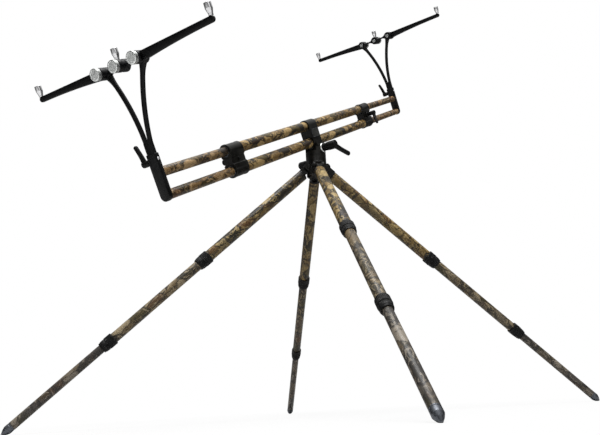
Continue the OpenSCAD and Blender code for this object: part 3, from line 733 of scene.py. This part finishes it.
class POD_OT_feet(bpy.types.Operator):
    """Turned pointed feet"""
    bl_idname = "pod.feet"
    bl_label = "Feet"

    def execute(self, context):
        for leg in LEGS:
            node, place = f"{leg}_foot", leg_place(leg)
            points = cad_points(node, place)
            r = radii(points)
            outer, tip, top = r.max(), points[:, 2].max(), points[:, 2].min()
            rim = points[r > outer * 0.99][:, 2]
            plug = end_radius(points, within=1e-4)
            z0, z1, e = rim.min(), rim.max(), sizes().edge
            profile = soften([
                (0, top), (plug, top), (plug, z0), (outer, z0), (outer, z0 + 2 * e), (outer - 0.6 * e, z0 + 2.6 * e),
                (outer - 0.6 * e, z0 + 3.6 * e), (outer, z0 + 4.2 * e), (outer, z1),
                (outer * 0.72, z1 + 0.45 * (tip - z1)), (outer * 0.28, tip - 0.1 * (tip - z1)), (0, tip)], 0.4 * e)
            node_piece(node, [revolve(profile, place, turns=48)], finishes()["grey"])
        return {"FINISHED"}


class POD_OT_hub(bpy.types.Operator):
    """Leg hub with its hinge pins and knuckles, swivel head, washer and knob"""
    bl_idname = "pod.hub"
    bl_label = "Hub and head"

    def execute(self, context):
        look = finishes()
        for node in ["leg_hub", "swivel_head"] + [f"{leg}_leg_knuckle" for leg in LEGS]:
            eased_copy(node, look["drab"], sizes().edge * 0.7)
        self.pins()
        self.washer()
        self.swivel_knob()
        return {"FINISHED"}

    def pins(self):
        """Four pins: a shank between two domed heads."""
        parts, nearby = [], 0.005
        for leg in LEGS:
            place = joint_place(f"{leg}_fold")
            points = cad_points("leg_pins", place)
            own = points[radii(points) < nearby]
            r = radii(own)
            end, head = own[:, 2].max(), r.max()
            neck = np.abs(own[r > head * 0.99][:, 2]).min()
            shank = head / 1.5
            dome = (end - neck) * 0.5
            half = [(shank, 0), (shank, neck), (head, neck), (head, end - dome), (head * 0.7, end), (0, end)]
            profile = [(r_, -z_) for r_, z_ in half[:0:-1]] + half
            parts.append(revolve(soften(profile, 0.0004), place, turns=28))
        node_piece("leg_pins", parts, finishes()["drab"])

    def washer(self):
        """A stepped bright washer under the tilt lever."""
        place = joint_place("tilt_lever_turn")
        z0, z1, outer, bore, _ = bores("tilt_washer", place)
        step = (z1 - z0) * 0.35
        wall = [(outer, z0), (outer, z1 - step), (outer * 0.93, z1), (bore, z1), (bore, z0)]
        node_piece("tilt_washer", [lathe(wall, place, 0.0003, turns=56)], finishes()["silver"])

    def swivel_knob(self):
        """A fluted knob on its stud: flutes are a cosine round the grip."""
        place = joint_place("swivel_knob_turn")
        points = cad_points("swivel_knob", place)
        r = radii(points)
        grip = points[r > r.max() * 0.995][:, 2]
        low, high, z0, z1, top = points[:, 2].min(), points[:, 2].max(), grip.min(), grip.max(), r.max()
        stud, count = end_radius(points), sizes().flutes
        base = points[(r > top * 0.55) & (r < top * 0.65)][:, 2].min()
        profile = [(0, low), (stud, low), (stud, base), (top * 0.6, base), (top * 0.85, (base + z0) / 2)]
        profile += [(top, z) for z in np.linspace(z0, z1, 9)]
        profile += [(top * 0.9, z1 + 0.45 * (high - z1)), (top * 0.62, high - 0.0006), (top * 0.45, high), (0, high)]
        grooves = ribs(sizes().flute_depth, count, z0, z1, fade=0.002)
        parts = [revolve(np.array(profile), place, turns=count * 8, ripple=grooves)]
        node_piece("swivel_knob", parts, finishes()["plastic"], smooth=40)


class POD_OT_levers(bpy.types.Operator):
    """Locking levers: a round boss on a stud and a curved handle"""
    bl_idname = "pod.levers"
    bl_label = "Levers"

    def execute(self, context):
        self.lever("tilt_lever", sizes().tilt_boss)
        for end in ENDS:
            for part in ("clamp", "upright"):
                self.lever(f"{end}_{part}_lever", sizes().lever_boss)
        return {"FINISHED"}

    def lever(self, node, boss_r):
        """Boss: a turned cup with a screw in its top. Handle: a superellipse that thins, then swells to a paddle."""
        place = joint_place(f"{node}_turn")
        points = cad_points(node, place)
        r = radii(points)
        low, stud, foot = points[:, 2].min(), end_radius(points), boss_foot(points, boss_r)
        top = points[(r < boss_r * 0.95) & (points[:, 2] > foot)][:, 2].max()
        edge, recess = boss_r * 0.14, 0.0012
        profile = soften([
            (0, low), (stud, low), (stud, foot), (boss_r * 0.84, foot), (boss_r * 0.90, foot + 0.25 * (top - foot)),
            (boss_r, foot + 0.42 * (top - foot)), (boss_r, top - edge), (boss_r - edge, top),
            (boss_r * 0.5, top), (boss_r * 0.48, top - recess), (0, top - recess)], 0.0006)
        boss = revolve(profile, place, turns=48)
        screw = polygon_ring(boss_r * 0.34, 6, place, top - 0.002, top - 0.0003, 0.0002)
        handle = self.handle(points, points[r.argmax()], place, boss_r, top)
        node_piece(node, [boss, handle, screw], finishes()["plastic"])

    def handle(self, points, far, place, boss_r, top):
        """A path from the boss to the CAD handle's end, bowed towards the lever's stud by a sine."""
        out = unit([far[0], far[1], 0])
        beyond = points[points @ out > boss_r * 1.6]
        half_w = np.ptp(beyond @ np.cross([0, 0, 1], out)) / 2
        end_z = beyond[beyond @ out > (far @ out) * 0.93][:, 2].mean()
        start_z = top - half_w * 1.2
        t = np.linspace(0, 1, 14)
        length = far @ out - half_w * 0.8
        bow = -0.021 * length
        path = out * (t * length)[:, None] + np.array([0, 0, 1.0]) * (
            start_z + (end_z - start_z) * t + bow * np.sin(pi * t))[:, None]
        wide = half_w * (1.12 - 0.14 * np.sin(pi * t) - 0.10 * t)
        deep = half_w * (1.12 - 0.32 * t)
        return sweep(path, wide, deep, (0.0, 0.0, 1.0), place, square=0.75)


class POD_OT_blocks(bpy.types.Operator):
    """Centre block with its bare panels, and the clamp blocks"""
    bl_idname = "pod.blocks"
    bl_label = "Blocks"

    def execute(self, context):
        eased_copy("centre_block", finishes()["drab"], sizes().edge * 0.7)
        self.panel_borders()
        for end in ENDS:
            self.clamp(end)
        return {"FINISHED"}

    def panel_borders(self):
        """A thin raised frame round the bare panel on each flank, and a thin grey plate inside it."""
        bar = bar_place()
        points = cad_points("centre_block", bar)
        flank = points[:, 1].max()
        face = points[points[:, 1] > flank - LEVEL]
        low, high = face.min(0), face.max(0)
        e = sizes().edge
        parts, plates = [], []
        for side in (1, -1):
            place = Place(to_world(bar, np.array([0, side * (flank - e), 0])), bar.x, bar.z, bar.y * side)
            inside = soften([(low[0] + e, low[2] + e), (high[0] - e, low[2] + e), (high[0] - e, high[2] - e),
                             (low[0] + e, high[2] - e)], e, closed=True)
            plates.append(slab(inside, place, 0, e * 1.2, e * 0.15, 1))
            for x0, x1, z0, z1 in ((low[0], high[0], low[2], low[2] + e), (low[0], high[0], high[2] - e, high[2]),
                                   (low[0], low[0] + e, low[2], high[2]), (high[0] - e, high[0], low[2], high[2])):
                outline = np.array([(x0, z0), (x1, z0), (x1, z1), (x0, z1)])
                parts.append(slab(outline, place, 0, e * 1.5, e * 0.25, 1))
        make_piece("centre_panel_borders", parts, finishes()["grey"], BODY_OF["centre_block"])
        make_piece("centre_panel_plates", plates, finishes()["panel"], BODY_OF["centre_block"])

    def clamp(self, end):
        """Two turned rings on the tubes, joined by a waisted web, and a pad under the lever."""
        node, bar = f"{end}_clamp_block", bar_place()
        points = cad_points(node, bar)
        low, high = points.min(0), points.max(0)
        r = high[1]
        centres = (low[2] + r, high[2] - r)
        parts, bushes = [], []
        for z in centres:
            place = along_x(bar, (0, 0, z))
            parts.append(self.ring(points, z, r, place))
            bushes += self.bushes(points, z, place)
        middle = sum(centres) / 2
        parts += self.web(r, centres[1] - middle, along_x(bar, (0, 0, middle)), low[0], high[0])
        parts.append(self.pad(end, r))
        node_piece(node, parts, finishes()["drab"])
        make_piece(f"{end}_clamp_bushes", bushes, finishes()["grey"], BODY_OF[node])

    def web(self, r, reach_z, place, low, high):
        """The block between the rings: flanks that dip by a smooth step at mid height, ends sunk in the rings.

        Its section is a grid over u and v from -1 to 1: height v times the gap between the rings' circles at u,
        width u times the flank's half width at that height. The section shrinks in a quarter round at each face.
        """
        u, v = np.linspace(-1, 1, 25)[:, None], np.linspace(-1, 1, 33)[None]
        edge = sizes().edge

        def section(shrink):
            wide = 0.95 * r - shrink
            z = v * (reach_z - np.sqrt((0.98 * r + shrink) ** 2 - (wide * u) ** 2))
            dip = np.clip((0.42 * reach_z - np.abs(z)) / (0.12 * reach_z), 0, 1)
            return np.stack([u * (wide - 0.20 * r * dip * dip * (3 - 2 * dip)), z], -1)

        def raised(flat, height):
            return np.concatenate([flat, np.full(flat.shape[:-1] + (1,), height)], -1)

        def rim(flat):
            return np.concatenate([flat[:-1, 0], flat[-1, :-1], flat[:0:-1, -1], flat[0, :0:-1]])
        q = np.linspace(0, pi / 2, 4)
        rows = [raised(rim(section(edge * (1 - np.sin(k)))), low + edge * (1 - np.cos(k))) for k in q]
        rows += [raised(rim(section(edge * (1 - np.sin(k)))), high - edge * (1 - np.cos(k))) for k in q[::-1]]
        face = section(edge)
        surfaces = [grid(np.array(rows)), sheet(raised(face, low), True), sheet(raised(face, high))]
        return [placed(place, *surface) for surface in surfaces]

    def ring(self, points, z, r, place):
        """A ring round a tube with the CAD block's own stepped bore, softened rims and a shallow band."""
        own = points[np.abs(points[:, 2] - z) < r]
        radius = np.hypot(own[:, 1], own[:, 2] - z)
        x0, x1 = own[:, 0].min(), own[:, 0].max()
        bore0, bore1 = (radius[np.abs(own[:, 0] - x) < LEVEL].min() for x in (x0, x1))
        step = own[np.abs(radius - min(bore0, bore1)) < ROUND][:, 0]
        step = step.max() if bore0 < bore1 else step.min()
        e = sizes().edge
        bore0, bore1 = bore0 + sizes().slack, bore1 + sizes().slack
        wall = [(r - e, x0), (r, x0 + e), (r, x0 + 5 * e), (r - 0.6 * e, x0 + 5.8 * e),
                (r - 0.6 * e, x1 - 5.8 * e), (r, x1 - 5 * e), (r, x1 - e), (r - e, x1),
                (bore1, x1), (bore1, step), (bore0, step), (bore0, x0)]
        return lathe(wall, place, 0.0004, turns=56)

    def bushes(self, points, z, place):
        """A thin grey ring round the tube at each end of a clamp's ring, partly sunk in it."""
        nearby, thick, sunk, proud = 0.0135, 0.001, 0.001, 0.0006
        own = points[np.hypot(points[:, 1], points[:, 2] - z) < nearby]
        radius = np.hypot(own[:, 1], own[:, 2] - z)
        parts = []
        for x, out in ((own[:, 0].min(), -1), (own[:, 0].max(), 1)):
            bore = radius[np.abs(own[:, 0] - x) < LEVEL].min() + sizes().slack
            h0, h1 = sorted((x - out * sunk, x + out * proud))
            wall = [(bore + thick, h0), (bore + thick, h1), (bore, h1), (bore, h0)]
            parts.append(lathe(wall, place, 0.0002))
        return parts

    def pad(self, end, r):
        """A round seat that brings the web out to the lever's boss."""
        place = joint_place(f"{end}_clamp_lever_turn")
        points = cad_points(f"{end}_clamp_lever", place)
        boss, hole = sizes().lever_boss, end_radius(points) + 0.0001
        seat = boss_foot(points, boss) - 0.0004
        sunk = seat - r * 0.5
        wall = [(boss * 1.15, sunk), (boss * 1.05, seat), (hole, seat), (hole, sunk)]
        return lathe(wall, place, 0.0004, turns=40)


class POD_OT_uprights(bpy.types.Operator):
    """Flat uprights at the ends of the bar, with their small bright screws"""
    bl_idname = "pod.uprights"
    bl_label = "Uprights"

    def execute(self, context):
        for end in ENDS:
            node, tip = f"{end}_upright", tip_place(end)
            low, high = reach(node, tip)
            half_w, a = high[1], np.linspace(0, pi, 14)
            foot = np.stack([-half_w * np.cos(a), low[2] + half_w - half_w * np.sin(a)], -1)
            outline = soften(np.vstack([[(half_w, high[2]), (-half_w, high[2])], foot]), 0.0012, closed=True)
            parts = [slab(outline, along_x(tip), low[0], high[0], 0.0014)]
            node_piece(node, parts, finishes()["black"])
            self.screw(end, tip, low, high)
        return {"FINISHED"}

    def screw(self, end, tip, low, high):
        """A small screw with a round recess near the top of the flank."""
        spot, r = np.array([0, low[1], high[2] - sizes().screw_drop]), sizes().screw_r
        place = axis_place(to_world(tip, spot), -tip.y)
        sunk, shoulder, top, recess = -0.002, 0.0006, 0.0011, 0.0005
        head = soften([(0, sunk), (r, sunk), (r, shoulder), (r - 0.0006, top), (r - 0.0015, top),
                       (r - 0.0016, recess), (0, recess)], 0.0002)
        make_piece(f"{end}_upright_screw", [revolve(head, place, turns=28)], finishes()["steel"],
                   BODY_OF[f"{end}_upright"])


class POD_OT_forks(bpy.types.Operator):
    """Two-armed forks with their barrels"""
    bl_idname = "pod.forks"
    bl_label = "Forks"

    def execute(self, context):
        for end in ENDS:
            self.fork(end)
        return {"FINISHED"}

    def fork(self, end):
        node, tip, s = f"{end}_fork", tip_place(end), sizes()
        points = cad_points(node, tip)
        low, high = points.min(0), points.max(0)
        stem = points[points[:, 2] < low[2] + LEVEL]
        half_t, half_w = stem[:, 0].max(), stem[:, 1].max()
        outline = soften([(half_w, low[2]), (half_w, -s.crotch), (-half_w, -s.crotch), (-half_w, low[2])],
                         0.0012, closed=True)
        parts = [slab(outline, along_x(tip), -half_t, half_t, 0.0009)]
        wide = pivot_y(end)
        barrel_r = high[1] - wide
        for side in (1, -1):
            parts.append(self.arm(tip, side, wide, barrel_r))
            parts.append(self.barrel(tip, side * wide, low[0], 0, barrel_r, 1.0))
        parts.append(self.barrel(tip, 0, low[0], high[0], barrel_r, 0.9))
        parts.append(self.link(tip, wide, barrel_r))
        node_piece(node, parts, finishes()["black"], smooth=36)

    def arm(self, tip, side, wide, barrel_r):
        """A rounded bar along a circular arc from the stem to the barrel, leaning back, flared at its top."""
        s = sizes()
        foot = np.array([s.arm_w / 2 + 0.0006, -s.crotch - s.arm_root])
        chord = np.array([wide, 0.0]) - foot
        sweep_angle = 2 * (np.arctan2(chord[0], chord[1]) - s.arm_lean)
        radius = np.linalg.norm(chord) / (2 * np.sin(sweep_angle / 2))
        turn = np.linspace(0, sweep_angle, 40)
        y = foot[0] + radius * (np.cos(s.arm_lean) - np.cos(s.arm_lean + turn))
        z = foot[1] + radius * (np.sin(s.arm_lean + turn) - np.sin(s.arm_lean))
        t = (z - foot[1]) / (0 - foot[1])
        path = np.stack([-s.arm_back * t, side * y, z], -1)
        inside = t < 1 - 0.3 * barrel_r / s.crotch
        path, t = path[inside], t[inside]
        flare = s.arm_flare * np.clip((t - 0.80) / 0.18, 0, 1) ** 2
        return sweep(path, s.arm_w / 2 + flare, s.arm_t / 2 + 0.4 * flare, (1.0, 0.0, 0.0), tip, square=0.62)

    def barrel(self, tip, y, x0, x1, r, waist):
        """A turned barrel with softened rims and a shallow groove."""
        bore, e, span = r * BORE, sizes().edge, x1 - x0
        wall = [(r - e, x0), (r, x0 + e), (r, x0 + 0.35 * span), (r * waist, x0 + 0.40 * span),
                (r * waist, x0 + 0.55 * span), (r, x0 + 0.60 * span), (r, x1 - e), (r - e, x1),
                (bore, x1), (bore, x0)]
        return lathe(wall, along_x(tip, (0, y, 0)), 0.0006)

    def link(self, tip, wide, barrel_r):
        """A round rod that carries the middle barrel; its radius swells in a bell curve at each barrel."""
        place = axis_place(to_world(tip, np.array([-sizes().arm_back, 0, 0])), tip.y)
        y = np.linspace(-wide, wide, 81)
        gap = np.minimum(np.abs(np.abs(y) - wide + barrel_r), np.abs(np.abs(y) - 0.9 * barrel_r))
        r = sizes().link_r * (0.9 + 1.1 * np.exp(-(gap / 0.0035) ** 2))
        profile = np.vstack([[(0, -wide)], np.stack([r, y], -1), [(0, wide)]])
        return revolve(profile, place, turns=24)


class POD_OT_wings(bpy.types.Operator):
    """Wings that carry the outer rod rests"""
    bl_idname = "pod.wings"
    bl_label = "Wings"

    def execute(self, context):
        for end in ENDS:
            for side, sign in SIDES:
                self.wing(end, side, sign)
        return {"FINISHED"}

    def wing(self, end, side, sign):
        """The blade's depth falls from root to tip with the square of the distance left; the boss is turned."""
        node, tip, s = f"{end}_{side}_wing", tip_place(end), sizes()
        points, root = cad_points(node, tip), pivot_y(end)
        low, high = points.min(0), points.max(0)
        nose_r, barrel_r, boss_reach = s.wing_tip / 2, high[2], 0.03
        tip_y = (high[1] if sign > 0 else -low[1]) - nose_r
        blade = points[np.abs(points[:, 1]) > root + boss_reach][:, 0]
        t = np.linspace(0, 1, 30)
        upper = barrel_r - s.wing_drop + s.wing_rise * t
        lower = upper - (s.wing_tip + (s.wing_root - s.wing_tip) * (1 - t) ** 2)
        y = root + (tip_y - root) * t
        a = np.linspace(-pi / 2, pi / 2, 12)[1:-1]
        nose = np.stack([tip_y + nose_r * np.cos(a), (upper[-1] + lower[-1]) / 2 + nose_r * np.sin(a)], -1)
        outline = np.vstack([np.stack([y, lower], -1), nose, np.stack([y, upper], -1)[::-1]])
        flat = slab(outline, Place(tip.origin, tip.y * sign, tip.z, tip.x), blade.min(), blade.max(), 0.0013)
        bore, e, x0, x1 = barrel_r * BORE, s.edge, low[0], high[0]
        wall = [(barrel_r, x0), (barrel_r, x1 - 2 * e), (barrel_r - e, x1 - e), (barrel_r - e, x1),
                (bore, x1), (bore, x0)]
        boss = lathe(wall, along_x(tip, (0, sign * root, 0)), 0.0006)
        node_piece(node, [flat, boss], finishes()["black"])


class POD_OT_knobs(bpy.types.Operator):
    """Flat knurled pivot knobs with their bolts and nuts"""
    bl_idname = "pod.knobs"
    bl_label = "Pivot knobs"

    def execute(self, context):
        for end in ENDS:
            self.knobs(end)
        return {"FINISHED"}

    def knobs(self, end):
        """A disc with a knurled rim and a bright dished face; the knurl is a cosine round the rim."""
        node, tip, s = f"{end}_fork_knobs", tip_place(end), sizes()
        points = cad_points(node, tip)
        nearby = 0.015
        middle = points[np.abs(points[:, 1]) < nearby]
        r = np.hypot(middle[:, 1], middle[:, 2])
        knob_r, front, back = r.max(), middle[:, 0].max(), middle[:, 0].min()
        seat = middle[r > knob_r * 0.99][:, 0].min()
        bolt = r[middle[:, 0] < seat].min()
        nut_r = r[middle[:, 0] < back + LEVEL].max()
        nut_seat = middle[(np.abs(r - nut_r) < LEVEL) & (middle[:, 0] < 0)][:, 0].max()
        e, thick, dish, wide = s.edge, front - seat, 0.0004, pivot_y(end)
        rows = np.linspace(seat + 0.25 * thick, front - 0.28 * thick, 6)
        profile = [(0, back), (bolt, back), (bolt, seat), (knob_r - e, seat), (knob_r, seat + e)]
        profile += [(knob_r, x) for x in rows]
        edge = knob_r - 0.7 * e
        profile += [(knob_r, front - 0.2 * thick), (knob_r - 0.3 * e, front - 0.5 * e), (edge, front - 0.4 * e),
                    (edge, front - e), (0, front - e)]
        face = [(0, front - 1.5 * e), (edge, front - 1.5 * e), (edge, front - 0.3 * e), (edge - 0.5 * e, front),
                (knob_r * 0.80, front), (knob_r * 0.76, front - dish), (0, front - dish)]
        knurl = ribs(s.knurl_depth, s.knurls, rows[0], rows[-1])
        parts, faces = [], []
        for y in (-wide, 0, wide):
            place = along_x(tip, (0, y, 0))
            parts.append(revolve(np.array(profile), place, turns=s.knurls * 4, ripple=knurl))
            parts.append(polygon_ring(nut_r * 1.08, 6, place, back + 0.0004, nut_seat, 0.0003))
            faces.append(revolve(np.array(face), place, turns=64))
        # The body and knurled rim take the darkened silver, which is painted shade; the dished faces keep the full
        # silver
        node_piece(node, parts, finishes()["rim"], smooth=34)
        make_piece(f"{end}_knob_faces", faces, finishes()["silver"], BODY_OF[node])


class POD_OT_rests(bpy.types.Operator):
    """Polished rod rests with a threaded hole"""
    bl_idname = "pod.rests"
    bl_label = "Rod rests"

    def execute(self, context):
        for end in ENDS:
            for name in ("left", "right", "centre"):
                self.rest(f"{end}_{name}_rest", end)
        return {"FINISHED"}

    def rest(self, node, end):
        """A cup on a stud. The thread in its hole is a triangle wave of the height plus the angle over one pitch."""
        tip = tip_place(end)
        low, high = reach(node, tip)
        middle = (low + high) / 2
        place = along_z(tip, (middle[0], middle[1], 0))
        points = cad_points(node, place)
        r = radii(points)
        outer, z0, z1, stud = r.max(), points[:, 2].min(), points[:, 2].max(), end_radius(points)
        bore = r[points[:, 2] > z1 - LEVEL].min()
        floor = points[np.abs(r - bore) < ROUND][:, 2].min()
        cup = points[r > outer * 0.995][:, 2].min()
        neck = points[(r > stud * 1.05) & (points[:, 2] < cup - 0.001)]
        foot_z, foot = neck[:, 2].min(), end_radius(neck)
        outside = soften([
            (0, z0), (stud, z0), (stud, foot_z), (foot * 1.25, foot_z), (foot * 1.28, foot_z + 0.30 * (cup - foot_z)),
            (outer * 0.93, cup - 0.08 * (cup - foot_z)), (outer, cup + 0.0008), (outer, z1 - 0.0004),
            (outer - 0.0003, z1), (bore + 0.0004, z1)], 0.0003)
        inside = [(bore, z) for z in np.linspace(z1 - 0.0004, floor, 36)]
        profile = np.vstack([outside, inside, [(0, floor)]])
        threaded = np.zeros((len(profile), 1))
        threaded[len(outside) + 2:-3] = 1
        pitch, depth = sizes().thread_step, sizes().thread_depth

        def thread(a, h):
            phase = (h / pitch + a / (2 * pi)) % 1.0
            return depth * np.abs(2 * phase - 1) * threaded
        node_piece(node, [revolve(profile, place, turns=48, ripple=thread)], finishes()["steel"], smooth=38)


class POD_OT_stage(bpy.types.Operator):
    """Pale floor, soft studio light and the photograph's camera"""
    bl_idname = "pod.stage"
    bl_label = "Stage"

    def execute(self, context):
        self.floor()
        self.world(context.scene)
        self.lights()
        self.camera(context.scene)
        context.scene.view_settings.view_transform = "Standard"
        return {"FINISHED"}

    def floor(self):
        mesh, half = bpy.data.meshes.new("floor"), FLOOR_HALF
        mesh.from_pydata([(-half, -half, 0), (half, -half, 0), (half, half, 0), (-half, half, 0)], [], [(0, 1, 2, 3)])
        plane = bpy.data.objects.new("floor", mesh)
        bpy.context.scene.collection.objects.link(plane)
        mesh.materials.append(self.paper())

    def paper(self):
        """White paper: a diffuse sheet that keeps the shadow, lightened for the camera and more so far away."""
        s = Shader(bpy.data.materials.new("Paper"))
        tree = s.tree
        seen, glossy = s.rays()
        mirror = s.math("MAXIMUM", seen, glossy)
        tone = s.mix(mirror, scaled(colours().paper, 0.33), tuple(colours().paper))
        s.set(Base_Color=tone, Roughness=0.9, Specular_IOR_Level=0.0)
        share = s.steps(s.vector("LENGTH", s.place("object")), 0.35, 1.25, 0.87, 1.0)
        glow = s.add("ShaderNodeEmission", Color=(1.0, 1.0, 1.0), Strength=1.0)
        blend = tree.nodes.new("ShaderNodeMixShader")
        tree.links.new(s.math("MULTIPLY", seen, share), blend.inputs[0])
        tree.links.new(s.body.outputs[0], blend.inputs[1])
        tree.links.new(glow.outputs[0], blend.inputs[2])
        tree.links.new(blend.outputs[0], tree.nodes["Material Output"].inputs["Surface"])
        return s.owner

    def world(self, scene):
        """White to the camera, dim as light; mirrors see white overhead and behind the camera, dark elsewhere."""
        s = Shader(bpy.data.worlds.new("Studio"), body="Background")
        scene.world = s.owner
        way = s.tree.nodes.new("ShaderNodeTexCoord").outputs["Generated"]
        above = s.steps(s.vector("DOT_PRODUCT", way, (0, 0, 1)), 0.35, 0.8)
        behind = s.steps(s.vector("DOT_PRODUCT", way, (-0.6, -0.8, 0.05)), 0.80, 0.95)
        seen, glossy = s.rays()
        mirror = s.math("ADD", s.math("MULTIPLY", s.math("MAXIMUM", above, behind), 0.80), 0.10)
        mirror = s.math("MULTIPLY", mirror, glossy)
        lit = s.math("MULTIPLY", s.math("SUBTRACT", 1.0, glossy), 0.12)
        s.set(Color=(1, 1, 1), Strength=s.math("MAXIMUM", seen, s.math("ADD", lit, mirror)))

    def lights(self):
        """Three large softboxes: overhead on the camera's side, a weak fill on its right, and a weak one behind."""
        for lamp in LAMPS:
            light = bpy.data.lights.new(lamp.name, "AREA")
            light.energy, light.size = lamp.power, lamp.width
            softbox = bpy.data.objects.new(lamp.name, light)
            bpy.context.scene.collection.objects.link(softbox)
            softbox.visible_glossy = lamp.name == "key"
            softbox.location = lamp.spot
            softbox.rotation_euler = (AIM - Vector(lamp.spot)).to_track_quat("-Z", "Y").to_euler()

    def camera(self, scene):
        """The camera's place is measured from the hub's axis. It looks up along the heading, with a slight roll."""
        eye = scene.pod_camera
        ahead = np.array([np.cos(eye.yaw) * np.cos(eye.pitch), np.sin(eye.yaw) * np.cos(eye.pitch), np.sin(eye.pitch)])
        right = np.array([np.sin(eye.yaw), -np.cos(eye.yaw), 0])
        down = np.cross(ahead, right)
        level = np.cos(eye.roll) * right - np.sin(eye.roll) * down
        sunk = np.sin(eye.roll) * right + np.cos(eye.roll) * down
        hub = JOINTS["head_swivel"]["pos_m"]
        spot = np.array(eye.stand) + np.array([hub[0], hub[1], 0])
        matrix = np.eye(4)
        matrix[:3, 0], matrix[:3, 1], matrix[:3, 2], matrix[:3, 3] = level, -sunk, -ahead, spot
        data = bpy.data.cameras.new("camera")
        data.sensor_width = 36.0
        data.sensor_fit = "HORIZONTAL"
        data.lens = eye.lens
        data.clip_start = 0.01
        camera = bpy.data.objects.new("camera", data)
        scene.collection.objects.link(camera)
        camera.matrix_world = Matrix(matrix.tolist())
        scene.camera = camera


OPERATORS = (POD_OT_stage, POD_OT_tubes, POD_OT_collars, POD_OT_feet, POD_OT_hub, POD_OT_levers, POD_OT_blocks,
             POD_OT_uprights, POD_OT_forks, POD_OT_wings, POD_OT_knobs, POD_OT_rests)


class POD_PT_panel(bpy.types.Panel):
    """Sidebar panel with one button for each group of pieces"""
    bl_idname = "POD_PT_panel"
    bl_label = "Rod pod"
    bl_space_type = "VIEW_3D"
    bl_region_type = "UI"
    bl_category = "Rod pod"

    def draw(self, context):
        for operator in OPERATORS:
            self.layout.operator(operator.bl_idname)


CLASSES = (POD_PG_sizes, POD_PG_colours, POD_PG_camera, *OPERATORS, POD_PT_panel)


def register():
    for cls in CLASSES:
        bpy.utils.register_class(cls)
    bpy.types.Scene.pod_sizes = PointerProperty(type=POD_PG_sizes)
    bpy.types.Scene.pod_colours = PointerProperty(type=POD_PG_colours)
    bpy.types.Scene.pod_camera = PointerProperty(type=POD_PG_camera)


def unregister():
    del bpy.types.Scene.pod_camera
    del bpy.types.Scene.pod_colours
    del bpy.types.Scene.pod_sizes
    for cls in reversed(CLASSES):
        bpy.utils.unregister_class(cls)


def main():
    register()
    for operator in OPERATORS:
        group, name = operator.bl_idname.split(".")
        getattr(getattr(bpy.ops, group), name)()


if __name__ == "__main__":
    main()
